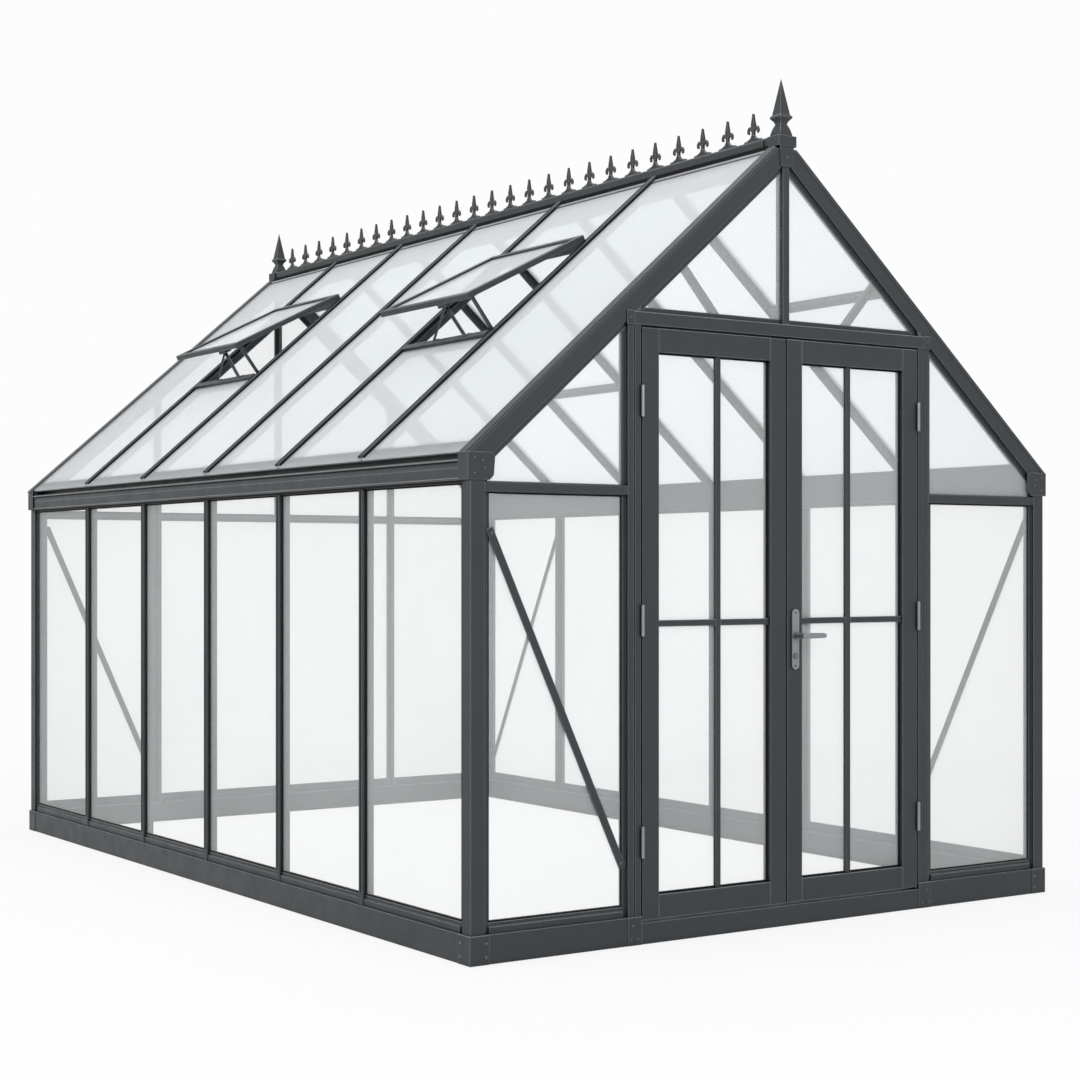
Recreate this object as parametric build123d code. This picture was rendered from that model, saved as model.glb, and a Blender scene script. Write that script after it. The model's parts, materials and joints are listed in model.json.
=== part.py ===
from build123d import *
import math
import os

# Greenhouse with a clear glazed wall on every side, a pitched roof with two open vents,
# double doors in the front gable and an ornamental ridge.
# Millimetres. X runs across the front wall, Y from the front gable to the back one, Z up.

# Overall sizes
LENGTH = 3660.0            # base frame, front to back
WIDTH = 2400.0             # base frame, side to side
EAVE_HEIGHT = 1481.0       # roof plane over the outer face of the side walls
ROOF_PITCH = 41.0          # degrees
BAYS = 6                   # glazed bays in a side wall
END_BAY = 661.0            # end of the base to the first bar's centre

# Base frame, a channel that opens inwards
BASE_HEIGHT = 87.0
BASE_FLANGE = 50.0
BASE_WALL = 2.5
SILL_HEIGHT = 66.0         # lower channel under the doors
BRACKET_LEG = 66.0
BRACKET_THICKNESS = 2.0

# Glazing, measured inwards from the base's outer face
SETBACK = 4.0              # outer face of posts, caps and rafters
PANE_DEPTH = 17.0          # outer face of the wall panes
PANE = 4.0
ROOF_PANE = 6.0
LIP = 3.0                  # thickness of every glazing lip
LIP_REACH = 16.0           # how far a lip covers a pane
PANE_GAP = 1.0             # left free round each pane

# Bars
BAR_CAP = 30.0
CAP_BEVEL = 3.0
BAR_NECK = 10.0
BAR_LIP = 36.0
BAR_STEM = 26.0
ROOF_CAP_DEPTH = 10.0

# Posts, rafters and rails
POST = 48.0
PROFILE_WALL = 2.5
DOOR_POST = 49.0
POST_GROOVE_WIDTH = 4.0
POST_GROOVE_DEPTH = 3.0
RAFTER_DEPTH = 52.0
VERGE_LIP_RISE = 6.0       # verge lip over the roof pane
VERGE_START = 12.0         # verge lip, in from the rafter's face
VERGE_WIDTH = 18.0
TRANSOM_HEIGHT = 1386.0
HEADER_HEIGHT = 40.0
SILL_RAIL_STEP = 20.0
SILL_RAIL_HEIGHT = 32.0
SILL_RAIL_BACK = 38.0
SILL_RAIL_FLOOR = 8.0
SILL_RAIL_FRONT = 8.0
SILL_RAIL_FOOT = 44.0
STRUT_WIDTH = 25.0
STRUT_THICKNESS = 16.0
STRUT_HEAD = 410.0         # gable strut, from the centre line, at the rafter
STRUT_FOOT = 262.0         # and at the header
STAY_BAR = 30.0            # wall brace, width
STAY_THICKNESS = 3.0
BRACE_HOLE = 4.0

# Gutter and eave cover
GUTTER_BASE = 1405.0
GUTTER_LIP = 1467.0
GUTTER_OUT = 2.0           # gutter wall, outside the base's face
GUTTER_BEAD = 5.0          # bead, outside the base's face
GUTTER_WIDTH = 48.0        # inner wall, inside the base's face
GUTTER_WALL = 3.0
GUTTER_BEAD_HEIGHT = 6.0
GUTTER_GROOVE = 1442.0
GUTTER_EDGE = 8.0          # roof pane's lower edge, inside the base's face
GUTTER_KEEP = 8.0          # glazing legs under the gutter
COVER_TOP = 1487.0
COVER_WIDTH = 86.0
COVER_WALL = 3.0
COVER_ROUND = 18.0
COVER_BEVEL = 14.0
COVER_TAPER = 4.0

# Ridge
RIDGE_BEAM_WIDTH = 72.0
RIDGE_BEAM_DEPTH = 50.0
RIDGE_HEAD = 48.0          # width between the two slopes' panes
RIDGE_CAP_WIDTH = 70.0
RIDGE_CAP_HEIGHT = 28.0
RIDGE_CAP_BEVEL = 6.0
PLINTH_LENGTH = 80.0
PLINTH_WIDTH = 60.0
FINIAL_HEIGHT = 190.0
FINIAL_INSET = 30.0        # finial's centre, in from the gable
APEX_TOP_WIDTH = 59.0
APEX_BOTTOM_WIDTH = 50.0
APEX_HEIGHT = 72.0
CREST_COUNT = 26
CREST_PITCH = 133.0
CREST_HEIGHT = 98.0
CREST_STRIP = 8.0
CREST_THICKNESS = 6.0

# Roof vents, on the left slope
VENT_BAYS = (1, 4)
VENT_SILL = 500.0          # cross rail, horizontally from the eave
VENT_HEAD = 898.0          # hinge rail, horizontally from the eave
VENT_OPEN = 14.3           # degrees
VENT_SIDE_GAP = 12.0       # the sash is this much narrower than the bay
CROSS_RAIL = 30.0
CROSS_RAIL_DEPTH = 22.0
CROSS_RAIL_UPSTAND = 8.0
UPSTAND_WALL = 4.0
HINGE_UPSTAND = 16.0
SASH_BAR = 25.0
SASH_THICKNESS = 20.0
SASH_REBATE = 6.0
STAY_WIDTH = 14.0
STAY_DEPTH = 6.0
STAY_FEET = (0.0, -200.0)  # along the cross rail, from the bay's centre
STAY_HEADS = (-60.0, -90.0)
REAR_RAIL_BAY = 3          # right slope: cross rails without a vent
FRONT_RAIL = 700.0

# Doors
OPENING = 1168.0           # between the door posts
SIDE_GAP = 6.0
MIDDLE_GAP = 5.5
LEAF_GAP = 7.0             # over and under the leaves
LEAF_TOP = 1886.0
LEAF_THICKNESS = 36.0
STILE = 64.0
DOOR_RAIL = 73.0
LEAF_WALL = 2.5
GROOVE = 8.0
GLASS_INSET = 18.0         # leaf's face to the glass
EDGE_BEVEL = 2.2           # off the back of the meeting edge
MUNTIN = 24.0
MUNTIN_DEPTH = 10.0
MUNTIN_HEIGHT = 979.0
HINGE_HEIGHTS = (312.0, 989.0, 1660.0)
HINGE_LENGTH = 96.0
HINGE_RADIUS = 6.0
HINGE_PIN = 3.0
HINGE_FIT = 0.05
HINGE_KNUCKLE = 34.0       # middle knuckle with its play
HINGE_PLAY = 0.3
HINGE_PLATE = 2.0
HINGE_PLATE_DEPTH = 26.0
HINGE_OUT = 2.0            # axis, outside the wall's face line

# Door handle
HANDLE_HEIGHT = 932.0
HANDLE_CENTRE = 34.5       # from the centre line
PLATE_WIDTH = 30.0
PLATE_LENGTH = 195.0
PLATE_HEIGHT = 920.0
PLATE_THICKNESS = 6.0
BOSS_RADIUS = 11.0
BOSS_HEIGHT = 6.0
NECK_RADIUS = 8.0
LEVER_LENGTH = 120.0
LEVER_WIDTH = 18.0
LEVER_THICKNESS = 12.0
LEVER_STANDOFF = 30.0
LEVER_PLAY = 0.3
SPINDLE = 8.0
SPINDLE_HOLE = 6.0
LOCK_HEIGHT = 866.0
LOCK_RADIUS = 8.5
LOCK_OUT = 4.0

# Worked-out sizes
PITCH = (LENGTH - 2 * END_BAY) / (BAYS - 2)
BAR_YS = [-LENGTH / 2 + END_BAY + k * PITCH for k in range(BAYS - 1)]
SLOPE = math.tan(math.radians(ROOF_PITCH))
COS_ROOF = math.cos(math.radians(ROOF_PITCH))
INNER_LIP = PANE_DEPTH + PANE + LIP
POST_END = SETBACK + POST
DOOR_POST_OUT = OPENING / 2 + DOOR_POST
BACK_BAR = OPENING / 2 + DOOR_POST / 2
HEADER_BOTTOM = LEAF_TOP + LEAF_GAP
HEADER_TOP = HEADER_BOTTOM + HEADER_HEIGHT
LEAF_BOTTOM = SILL_HEIGHT + LEAF_GAP
RIDGE_BASE = EAVE_HEIGHT + (WIDTH / 2 - RIDGE_HEAD / 2) * SLOPE + ROOF_PANE / COS_ROOF + PANE_GAP
RIDGE_TOP = RIDGE_BASE + RIDGE_CAP_HEIGHT
TOO_FAR = LENGTH + WIDTH
LEVER_REACH = BOSS_HEIGHT + LEVER_PLAY + LEVER_STANDOFF + LEVER_THICKNESS
FRONT_REACH = PLATE_THICKNESS + LEVER_REACH - SETBACK
CENTRE_SHIFT = (FRONT_REACH - BRACKET_THICKNESS) / 2


def prism(points, direction, length):
    """Close a 3-D outline, fill it and push it along one direction."""
    face = make_face(Polyline(*points, close=True))
    return extrude(face, amount=length, dir=direction)


def prism_x(points, x0, x1):
    return prism([(x0, y, z) for y, z in points], (1, 0, 0), x1 - x0)


def prism_y(points, y0, y1):
    return prism([(x, y0, z) for x, z in points], (0, 1, 0), y1 - y0)


def prism_z(points, z0, z1):
    return prism([(x, y, z0) for x, y in points], (0, 0, 1), z1 - z0)


def block(x0, x1, y0, y1, z0, z1):
    centre = Pos((x0 + x1) / 2, (y0 + y1) / 2, (z0 + z1) / 2)
    return centre * Box(x1 - x0, y1 - y0, z1 - z0)


def to_right(shape):
    return mirror(shape, about=Plane.YZ)


def to_back(shape):
    return mirror(shape, about=Plane.XZ)


def both_sides(shape):
    return [shape, to_right(shape)]


def four_corners(shape):
    return both_sides(shape) + [to_back(s) for s in both_sides(shape)]


def side_x(depth):
    """X of a plane that lies this deep inside the left wall."""
    return -WIDTH / 2 + depth


def front_y(depth):
    """Y of a plane that lies this deep inside the front wall."""
    return -LENGTH / 2 + depth


def roof_z(x, normal=0.0):
    """Height of the roof plane at x, moved out by a distance along its normal."""
    return EAVE_HEIGHT + (WIDTH / 2 - abs(x)) * SLOPE + normal / COS_ROOF


def bar_section(cap_depth, pane):
    """Half of a glazing bar: bevelled cap, neck between panes, inner lip and stem."""
    lip_start = cap_depth + pane
    lip_end = lip_start + LIP
    half = [
        (BAR_CAP / 2 - CAP_BEVEL, 0),
        (BAR_CAP / 2, CAP_BEVEL),
        (BAR_CAP / 2, cap_depth),
        (BAR_NECK / 2, cap_depth),
        (BAR_NECK / 2, lip_start),
        (BAR_LIP / 2, lip_start),
        (BAR_LIP / 2, lip_end),
        (BAR_NECK / 2, lip_end),
        (BAR_NECK / 2, lip_end + BAR_STEM),
    ]
    return half + [(-a, v) for a, v in reversed(half)]


WALL_BAR = [(a, v + SETBACK) for a, v in bar_section(PANE_DEPTH - SETBACK, PANE)]


def sill_section():
    """Stepped rail whose groove takes a pane's lower edge: depth and height over the base."""
    return [
        (SILL_RAIL_FRONT, 0),
        (SILL_RAIL_FOOT, 0),
        (SILL_RAIL_FOOT, LIP),
        (INNER_LIP, LIP),
        (INNER_LIP, SILL_RAIL_BACK),
        (PANE_DEPTH + PANE, SILL_RAIL_BACK),
        (PANE_DEPTH + PANE, SILL_RAIL_FLOOR),
        (PANE_DEPTH, SILL_RAIL_FLOOR),
        (PANE_DEPTH, SILL_RAIL_HEIGHT),
        (PANE_DEPTH - LIP, SILL_RAIL_HEIGHT),
        (PANE_DEPTH - LIP, SILL_RAIL_STEP),
        (SILL_RAIL_FRONT, SILL_RAIL_STEP),
    ]


def channel_section(height):
    """Base channel: depth and height."""
    return [
        (0, 0),
        (BASE_FLANGE, 0),
        (BASE_FLANGE, BASE_WALL),
        (BASE_WALL, BASE_WALL),
        (BASE_WALL, height - BASE_WALL),
        (BASE_FLANGE, height - BASE_WALL),
        (BASE_FLANGE, height),
        (0, height),
    ]


def front_run(section, x0, x1, base=0.0):
    """A section of depth and height, run along the front wall."""
    return prism_x([(front_y(d), h + base) for d, h in section], x0, x1)


def left_run(section, y0, y1, base=0.0):
    """The same, run along the left wall."""
    return prism_y([(side_x(d), h + base) for d, h in section], y0, y1)


def front_pane(points, overlap=0.0):
    """A pane of the front wall from its outline in X and Z."""
    return prism_y(points, front_y(PANE_DEPTH - overlap), front_y(PANE_DEPTH + PANE))


# Base frame

def base_side_rails():
    return both_sides(left_run(channel_section(BASE_HEIGHT), -LENGTH / 2, LENGTH / 2))


def base_end_rails():
    inner = WIDTH / 2 - BASE_FLANGE
    left = front_run(channel_section(BASE_HEIGHT), -inner, -OPENING / 2)
    back = to_back(front_run(channel_section(BASE_HEIGHT), -inner, inner))
    return both_sides(left) + [back]


def door_sill():
    return [front_run(channel_section(SILL_HEIGHT), -OPENING / 2, OPENING / 2)]


def base_brackets():
    t = BRACKET_THICKNESS
    x = side_x(0)
    y = front_y(0)
    leg = BRACKET_LEG
    outline = [(x - t, y - t), (x + leg, y - t), (x + leg, y), (x, y), (x, y + leg), (x - t, y + leg)]
    corner = prism_z(outline, 0, BASE_HEIGHT)
    joint = block(-DOOR_POST_OUT - SETBACK, -OPENING / 2, y - t, y, 0, BASE_HEIGHT)
    return four_corners(corner) + both_sides(joint)


def left_sill_rail():
    ends = [front_y(POST_END + LIP_REACH)] + BAR_YS + [-front_y(POST_END + LIP_REACH)]
    rails = []
    for k in range(BAYS):
        start = ends[k] + (BAR_CAP / 2 if k else 0) + PANE_GAP
        stop = ends[k + 1] - (BAR_CAP / 2 if k < BAYS - 1 else 0) - PANE_GAP
        rails.append(left_run(sill_section(), start, stop, BASE_HEIGHT))
    return cut_all(rails, left_wall_bars())


def right_sill_rail():
    return [to_right(s) for s in left_sill_rail()]


def end_sill_rails():
    corner = WIDTH / 2 - POST_END - LIP_REACH - PANE_GAP
    front = front_run(sill_section(), -corner, -DOOR_POST_OUT - LIP_REACH - PANE_GAP, BASE_HEIGHT)
    bar_edge = BAR_CAP / 2 + PANE_GAP
    side = front_run(sill_section(), -corner, -BACK_BAR - bar_edge, BASE_HEIGHT)
    middle = front_run(sill_section(), -BACK_BAR + bar_edge, BACK_BAR - bar_edge, BASE_HEIGHT)
    back = [to_back(s) for s in both_sides(side) + [middle]]
    return both_sides(front) + cut_all(back, back_wall_bars())


def cut_all(shapes, tools):
    """Cut every shape by every tool that it may meet."""
    result = []
    for shape in shapes:
        for tool in tools:
            shape = shape - tool
        result.append(shape)
    return result


# Roof frame

def left_slope():
    """Plane of the left slope: local X up the slope, local Y along the ridge."""
    rise = math.radians(ROOF_PITCH)
    return Plane(
        origin=(-WIDTH / 2, 0, EAVE_HEIGHT),
        x_dir=(math.cos(rise), 0, math.sin(rise)),
        z_dir=(-math.sin(rise), 0, math.cos(rise)),
    )


def slope_point(run, y, normal):
    """Point of the left slope, by its horizontal distance in from the eave."""
    x = -WIDTH / 2 + run
    rise = math.radians(ROOF_PITCH)
    return Vector(x - normal * math.sin(rise), y, EAVE_HEIGHT + run * SLOPE + normal * math.cos(rise))


def up_slope(points, start, stop):
    """A section of Y and normal, run up the left slope, with run distances for its ends."""
    face = make_face(Polyline(*[(start / COS_ROOF, y, n) for y, n in points], close=True))
    solid = extrude(face, amount=(stop - start) / COS_ROOF, dir=(1, 0, 0))
    return left_slope() * solid


def between(x0, x1, top=TOO_FAR):
    """Everything between two vertical planes, up to a height."""
    return block(x0, x1, -TOO_FAR, TOO_FAR, -TOO_FAR, top)


def left_rafter():
    """Front rafter of the left slope, with its verge lip and the lips for the gable's panes."""
    verge = SETBACK + VERGE_START
    seat = verge + SETBACK
    under = -RAFTER_DEPTH
    outer = PANE_DEPTH - LIP
    inner = PANE_DEPTH + PANE
    top = ROOF_PANE + VERGE_LIP_RISE
    section = [
        (SETBACK, under),
        (outer, under),
        (outer, under - LIP_REACH),
        (PANE_DEPTH, under - LIP_REACH),
        (PANE_DEPTH, under),
        (inner, under),
        (inner, under - LIP_REACH),
        (INNER_LIP, under - LIP_REACH),
        (INNER_LIP, under),
        (POST_END, under),
        (POST_END, 0),
        (seat, 0),
        (seat, ROOF_PANE),
        (verge + VERGE_WIDTH, ROOF_PANE),
        (verge + VERGE_WIDTH, top),
        (verge, top),
        (verge, 0),
        (SETBACK, 0),
    ]
    shape = up_slope([(front_y(d), n) for d, n in section], -POST_END, WIDTH / 2 + POST_END)
    return shape & between(side_x(SETBACK), 0, RIDGE_BASE)


def left_gable_rafters():
    return [left_rafter(), to_back(left_rafter())]


def right_gable_rafters():
    return [to_right(s) for s in left_gable_rafters()]


def trim_under_roof(shapes, rafters):
    """Cut what stands under a gable to the rafters' underside."""
    eave = -WIDTH / 2
    under = -RAFTER_DEPTH
    outline = [
        (eave, 0),
        (eave, roof_z(eave, under)),
        (0, roof_z(0, under)),
        (-eave, roof_z(eave, under)),
        (-eave, 0),
    ]
    room = prism_y(outline, -LENGTH, LENGTH)
    return cut_all([s & room for s in shapes], rafters)


def corner_post():
    """Front left post: square tube with two glazing lips towards each wall."""
    x = side_x(SETBACK)
    y = front_y(SETBACK)
    w = PROFILE_WALL
    top = EAVE_HEIGHT + POST
    tube = block(x, x + POST, y, y + POST, BASE_HEIGHT, top)
    tube = tube - block(x + w, x + POST - w, y + w, y + POST - w, BASE_HEIGHT, top)
    lips = []
    for depth in (PANE_DEPTH - LIP, PANE_DEPTH + PANE):
        start = POST_END
        stop = POST_END + LIP_REACH
        side_top = GUTTER_BASE - GUTTER_KEEP
        lips.append(
            block(side_x(depth), side_x(depth + LIP), front_y(start), front_y(stop), BASE_HEIGHT, side_top)
        )
        lips.append(
            block(side_x(start), side_x(stop), front_y(depth), front_y(depth + LIP), BASE_HEIGHT, top)
        )
    for lip in lips:
        tube = tube + lip
    return trim_under_roof([tube], [left_rafter()])[0]


def corner_posts():
    return four_corners(corner_post())


def left_wall_bars():
    top = GUTTER_BASE - GUTTER_KEEP
    bars = []
    for y in BAR_YS:
        outline = [(side_x(v), y + a) for a, v in WALL_BAR]
        bars.append(prism_z(outline, BASE_HEIGHT, top))
    return bars


def right_wall_bars():
    return [to_right(s) for s in left_wall_bars()]


def front_bar(x, bottom):
    """Upright bar in a gable, run up to the rafters."""
    outline = [(x + a, front_y(v)) for a, v in WALL_BAR]
    return prism_z(outline, bottom, RIDGE_BASE)


def back_wall_bars():
    bar = front_bar(-BACK_BAR, BASE_HEIGHT)
    trimmed = trim_under_roof([bar], [left_rafter()])[0]
    return [to_back(s) for s in both_sides(trimmed)]


def door_posts():
    """Post beside the doors: tube with a grooved face and lips for the side panes."""
    x0 = -DOOR_POST_OUT
    x1 = -OPENING / 2
    y0 = front_y(SETBACK)
    y1 = front_y(POST_END)
    w = PROFILE_WALL
    top = HEADER_TOP + POST
    floor = y0 + POST_GROOVE_DEPTH
    groove = (x0 + x1) / 2
    half = POST_GROOVE_WIDTH / 2
    post = block(x0, x1, y0, y1, BASE_HEIGHT, top)
    post = post - block(x0 + w, x1 - w, floor + w, y1 - w, BASE_HEIGHT, top)
    post = post - block(groove - half, groove + half, y0, floor, BASE_HEIGHT, top)
    for depth in (PANE_DEPTH - LIP, PANE_DEPTH + PANE):
        lip = block(x0 - LIP_REACH, x0, front_y(depth), front_y(depth + LIP), BASE_HEIGHT, top)
        post = post + lip
    return both_sides(trim_under_roof([post], [left_rafter()])[0])


def door_header():
    half = OPENING / 2
    w = PROFILE_WALL
    y0 = front_y(SETBACK)
    y1 = front_y(POST_END)
    header = block(-half, half, y0, y1, HEADER_BOTTOM, HEADER_TOP)
    header = header - block(-half, half, y0 + w, y1 - w, HEADER_BOTTOM + w, HEADER_TOP - w)
    for depth in (PANE_DEPTH - LIP, PANE_DEPTH + PANE):
        lip = block(-half, half, front_y(depth), front_y(depth + LIP), HEADER_TOP, HEADER_TOP + LIP_REACH)
        header = header + lip
    return trim_under_roof([header], [left_rafter(), to_right(left_rafter())])


def front_transom(x0, x1):
    return prism_x([(front_y(v), TRANSOM_HEIGHT + a) for a, v in WALL_BAR], x0, x1)


def transoms():
    corner = WIDTH / 2 - POST_END
    front = front_transom(-corner, -DOOR_POST_OUT)
    front = cut_all([front], [corner_post(), door_posts()[0]])[0]
    side = front_transom(-corner, -BACK_BAR)
    middle = front_transom(-BACK_BAR, BACK_BAR)
    bars = [to_back(s) for s in back_wall_bars()]
    side = cut_all([side], [corner_post()] + bars)[0]
    middle = cut_all([middle], bars)[0]
    return both_sides(front) + [to_back(s) for s in both_sides(side) + [middle]]


def gable_bars():
    """King posts and struts of both gables, behind the rafters' line."""
    rafters = [left_rafter(), to_right(left_rafter())]
    header = door_header()[0]
    rail = to_back(transoms()[4])
    king = cut_all(trim_under_roof([front_bar(0, HEADER_TOP)], rafters), [header])[0]
    back_king = front_bar(0, TRANSOM_HEIGHT + BAR_CAP / 2)
    back_king = cut_all(trim_under_roof([back_king], rafters), [rail])[0]
    lean = (STRUT_HEAD - STRUT_FOOT) / (roof_z(STRUT_HEAD, -RAFTER_DEPTH) - HEADER_TOP)
    half = STRUT_WIDTH / 2 * math.hypot(1, lean)
    head = roof_z(STRUT_HEAD, 0)
    shift = (head - HEADER_TOP) * lean
    outline = [
        (-STRUT_FOOT - half, HEADER_TOP),
        (-STRUT_FOOT + half, HEADER_TOP),
        (-STRUT_FOOT - shift + half, head),
        (-STRUT_FOOT - shift - half, head),
    ]
    strut = prism_y(outline, front_y(INNER_LIP), front_y(INNER_LIP + STRUT_THICKNESS))
    struts = both_sides(trim_under_roof([strut], rafters)[0])
    return [king, to_back(back_king)] + struts


def apex_plates():
    """Tapered plate over each rafter joint."""
    top = RIDGE_BASE
    bottom = top - APEX_HEIGHT
    outline = [
        (-APEX_TOP_WIDTH / 2, top),
        (APEX_TOP_WIDTH / 2, top),
        (APEX_BOTTOM_WIDTH / 2, bottom),
        (-APEX_BOTTOM_WIDTH / 2, bottom),
    ]
    plate = prism_y(outline, front_y(0), front_y(SETBACK))
    return [plate, to_back(plate)]


def gutters():
    """Gutter with a beaded lower edge, a grooved face, a sloping seat and legs over the panes."""
    out = -GUTTER_OUT
    w = GUTTER_WALL
    inner = GUTTER_WIDTH
    seat = roof_z(side_x(inner)) - w / COS_ROOF
    edge = roof_z(side_x(GUTTER_EDGE)) - w / COS_ROOF
    legs_end = GUTTER_BASE - GUTTER_KEEP
    outline = [
        (-GUTTER_BEAD, GUTTER_BASE),
        (PANE_DEPTH - LIP, GUTTER_BASE),
        (PANE_DEPTH - LIP, legs_end),
        (PANE_DEPTH, legs_end),
        (PANE_DEPTH, GUTTER_BASE),
        (PANE_DEPTH + PANE, GUTTER_BASE),
        (PANE_DEPTH + PANE, legs_end),
        (INNER_LIP, legs_end),
        (INNER_LIP, GUTTER_BASE),
        (inner, GUTTER_BASE),
        (inner, roof_z(side_x(inner))),
        (GUTTER_EDGE, roof_z(side_x(GUTTER_EDGE))),
        (GUTTER_EDGE, edge),
        (inner - w, seat - w * SLOPE),
        (inner - w, GUTTER_BASE + w),
        (out + w, GUTTER_BASE + w),
        (out + w, GUTTER_LIP),
        (out, GUTTER_LIP),
        (out, GUTTER_GROOVE + 1),
        (out + 1, GUTTER_GROOVE + 1),
        (out + 1, GUTTER_GROOVE - 1),
        (out, GUTTER_GROOVE - 1),
        (out, GUTTER_BASE + GUTTER_BEAD_HEIGHT),
        (-GUTTER_BEAD, GUTTER_BASE + GUTTER_BEAD_HEIGHT),
    ]
    end = front_y(POST_END)
    return both_sides(left_run(outline, end, -end))


def eave_cover():
    """Plate over the gutter's end and the rafter's heel, with a flange round the side."""
    left = side_x(-GUTTER_BEAD - COVER_WALL)
    right = side_x(COVER_WIDTH)
    r = COVER_ROUND
    with_round = Polyline(
        (right - r, COVER_TOP),
        (left, COVER_TOP),
        (left, GUTTER_BASE),
        (right - COVER_TAPER - COVER_BEVEL, GUTTER_BASE),
        (right - COVER_TAPER, GUTTER_BASE + COVER_BEVEL),
        (right, COVER_TOP - r),
    )
    corner = math.sqrt(0.5) * r
    arc = ThreePointArc(
        (right, COVER_TOP - r), (right - r + corner, COVER_TOP - r + corner), (right - r, COVER_TOP)
    )
    face = Plane.XZ * make_face([with_round, arc])
    plate = Pos(0, front_y(SETBACK), 0) * extrude(face, amount=SETBACK)
    top = COVER_TOP
    start = front_y(SETBACK)
    flange = block(left, left + COVER_WALL, start, front_y(POST_END + SETBACK), GUTTER_BASE, top)
    return plate + flange


def eave_cover_plates():
    return four_corners(eave_cover())


def ridge_beam():
    """Beam that takes the roof bars' ends, with a seat for the panes on each side."""
    half = RIDGE_BEAM_WIDTH / 2
    head = RIDGE_HEAD / 2
    shoulder = roof_z(half)
    bottom = shoulder - RIDGE_BEAM_DEPTH
    w = LIP
    outline = [
        (-half, bottom),
        (half, bottom),
        (half, shoulder),
        (head, roof_z(head)),
        (head, RIDGE_BASE),
        (-head, RIDGE_BASE),
        (-head, roof_z(head)),
        (-half, shoulder),
    ]
    end = front_y(POST_END)
    beam = prism_y(outline, end, -end)
    hollow = block(-half + w, half - w, end, -end, bottom + w, shoulder - w)
    return [beam - hollow]


def ridge_cap():
    half = RIDGE_CAP_WIDTH / 2
    b = RIDGE_CAP_BEVEL
    outline = [
        (-half, RIDGE_BASE),
        (half, RIDGE_BASE),
        (half, RIDGE_TOP - b),
        (half - b, RIDGE_TOP),
        (b - half, RIDGE_TOP),
        (-half, RIDGE_TOP - b),
    ]
    end = front_y(PLINTH_LENGTH)
    cap = prism_y(outline, end, -end)
    w = LIP
    hollow = block(-half + b, half - b, end, -end, RIDGE_BASE + w, RIDGE_TOP - w)
    return [cap - hollow]


def finial_silhouette():
    """Outline of the four-sided finial over its plinth: bulb, waist, collar and spike."""
    bulb = ThreePointArc((26, 0), (21.8, 20), (13.3, 40))
    right = Polyline((13.3, 40), (16.8, 49), (26, 60), (26, 64), (20.5, 71), (0, FINIAL_HEIGHT))
    left = Polyline((0, FINIAL_HEIGHT), (-20.5, 71), (-26, 64), (-26, 60), (-16.8, 49), (-13.3, 40))
    bulb_left = ThreePointArc((-13.3, 40), (-21.8, 20), (-26, 0))
    base = Line((-26, 0), (26, 0))
    return make_face([bulb, right, left, bulb_left, base])


def finials():
    """Each finial is where two crossed extrusions of one silhouette meet."""
    face = finial_silhouette()
    across = extrude(Plane.XZ * face, amount=PLINTH_WIDTH, both=True)
    along = extrude(Plane.YZ * face, amount=PLINTH_WIDTH, both=True)
    spire = Pos(0, front_y(FINIAL_INSET), RIDGE_TOP) * (across & along)
    half = PLINTH_WIDTH / 2
    plinth = block(-half, half, front_y(0), front_y(PLINTH_LENGTH), RIDGE_BASE, RIDGE_TOP)
    finial = plinth + spire
    return [finial, to_back(finial)]


def fleur():
    """Fleur-de-lis: spear, two curled lobes, a collar and a stem that flares to the strip."""
    spear = make_face(
        Polyline(
            (0, CREST_HEIGHT), (5.5, 80), (9, 66), (4, 48), (-4, 48), (-9, 66), (-5.5, 80), close=True
        )
    )
    lobe_arc = ThreePointArc((5, 50), (14.5, 59.5), (23.5, 47))
    lobe = SlotArc(arc=lobe_arc, height=6.5)
    collar = Pos(0, 47) * Rectangle(24, 5)
    flare = ThreePointArc((4.5, 34), (9.5, 17), (34, CREST_STRIP))
    flare_left = ThreePointArc((-34, CREST_STRIP), (-9.5, 17), (-4.5, 34))
    stem = make_face(
        [
            Polyline((-4.5, 34), (-4, 48), (4, 48), (4.5, 34)),
            flare,
            Polyline((34, CREST_STRIP), (34, 0), (-34, 0), (-34, CREST_STRIP)),
            flare_left,
        ]
    )
    return spear + lobe + mirror(lobe, about=Plane.YZ) + collar + stem


def ridge_cresting():
    """One cast strip with a fleur-de-lis at every pitch."""
    shape = fleur()
    run = (CREST_COUNT - 1) * CREST_PITCH
    strip = Pos(0, CREST_STRIP / 2) * Rectangle(run + CREST_PITCH, CREST_STRIP)
    sketch = strip
    for k in range(CREST_COUNT):
        sketch = sketch + Pos(k * CREST_PITCH - run / 2, 0) * shape
    place = Plane(origin=(-CREST_THICKNESS / 2, 0, RIDGE_TOP), x_dir=(0, 1, 0), z_dir=(1, 0, 0))
    return [extrude(place * sketch, amount=CREST_THICKNESS)]


ROOF_BAR = [(a, ROOF_PANE + ROOF_CAP_DEPTH - v) for a, v in bar_section(ROOF_CAP_DEPTH, ROOF_PANE)]


def left_roof_bars():
    """Bars that reach from the gutter's edge to the ridge beam, notched over the gutter."""
    ridge_face = -RIDGE_BEAM_WIDTH / 2
    upper = [(a, n) for a, n in ROOF_BAR if n >= 0]
    lower = [(a, n) for a, n in ROOF_BAR if n <= 0]
    bars = []
    for y in BAR_YS:
        cap = up_slope([(y + a, n) for a, n in neck_only(upper)], 0, WIDTH / 2)
        cap = cap & between(side_x(GUTTER_EDGE), ridge_face)
        stem = up_slope([(y + a, n) for a, n in lower], 0, WIDTH / 2)
        stem = stem & between(side_x(GUTTER_WIDTH), ridge_face)
        bars.append(cap + stem)
    return bars


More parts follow.
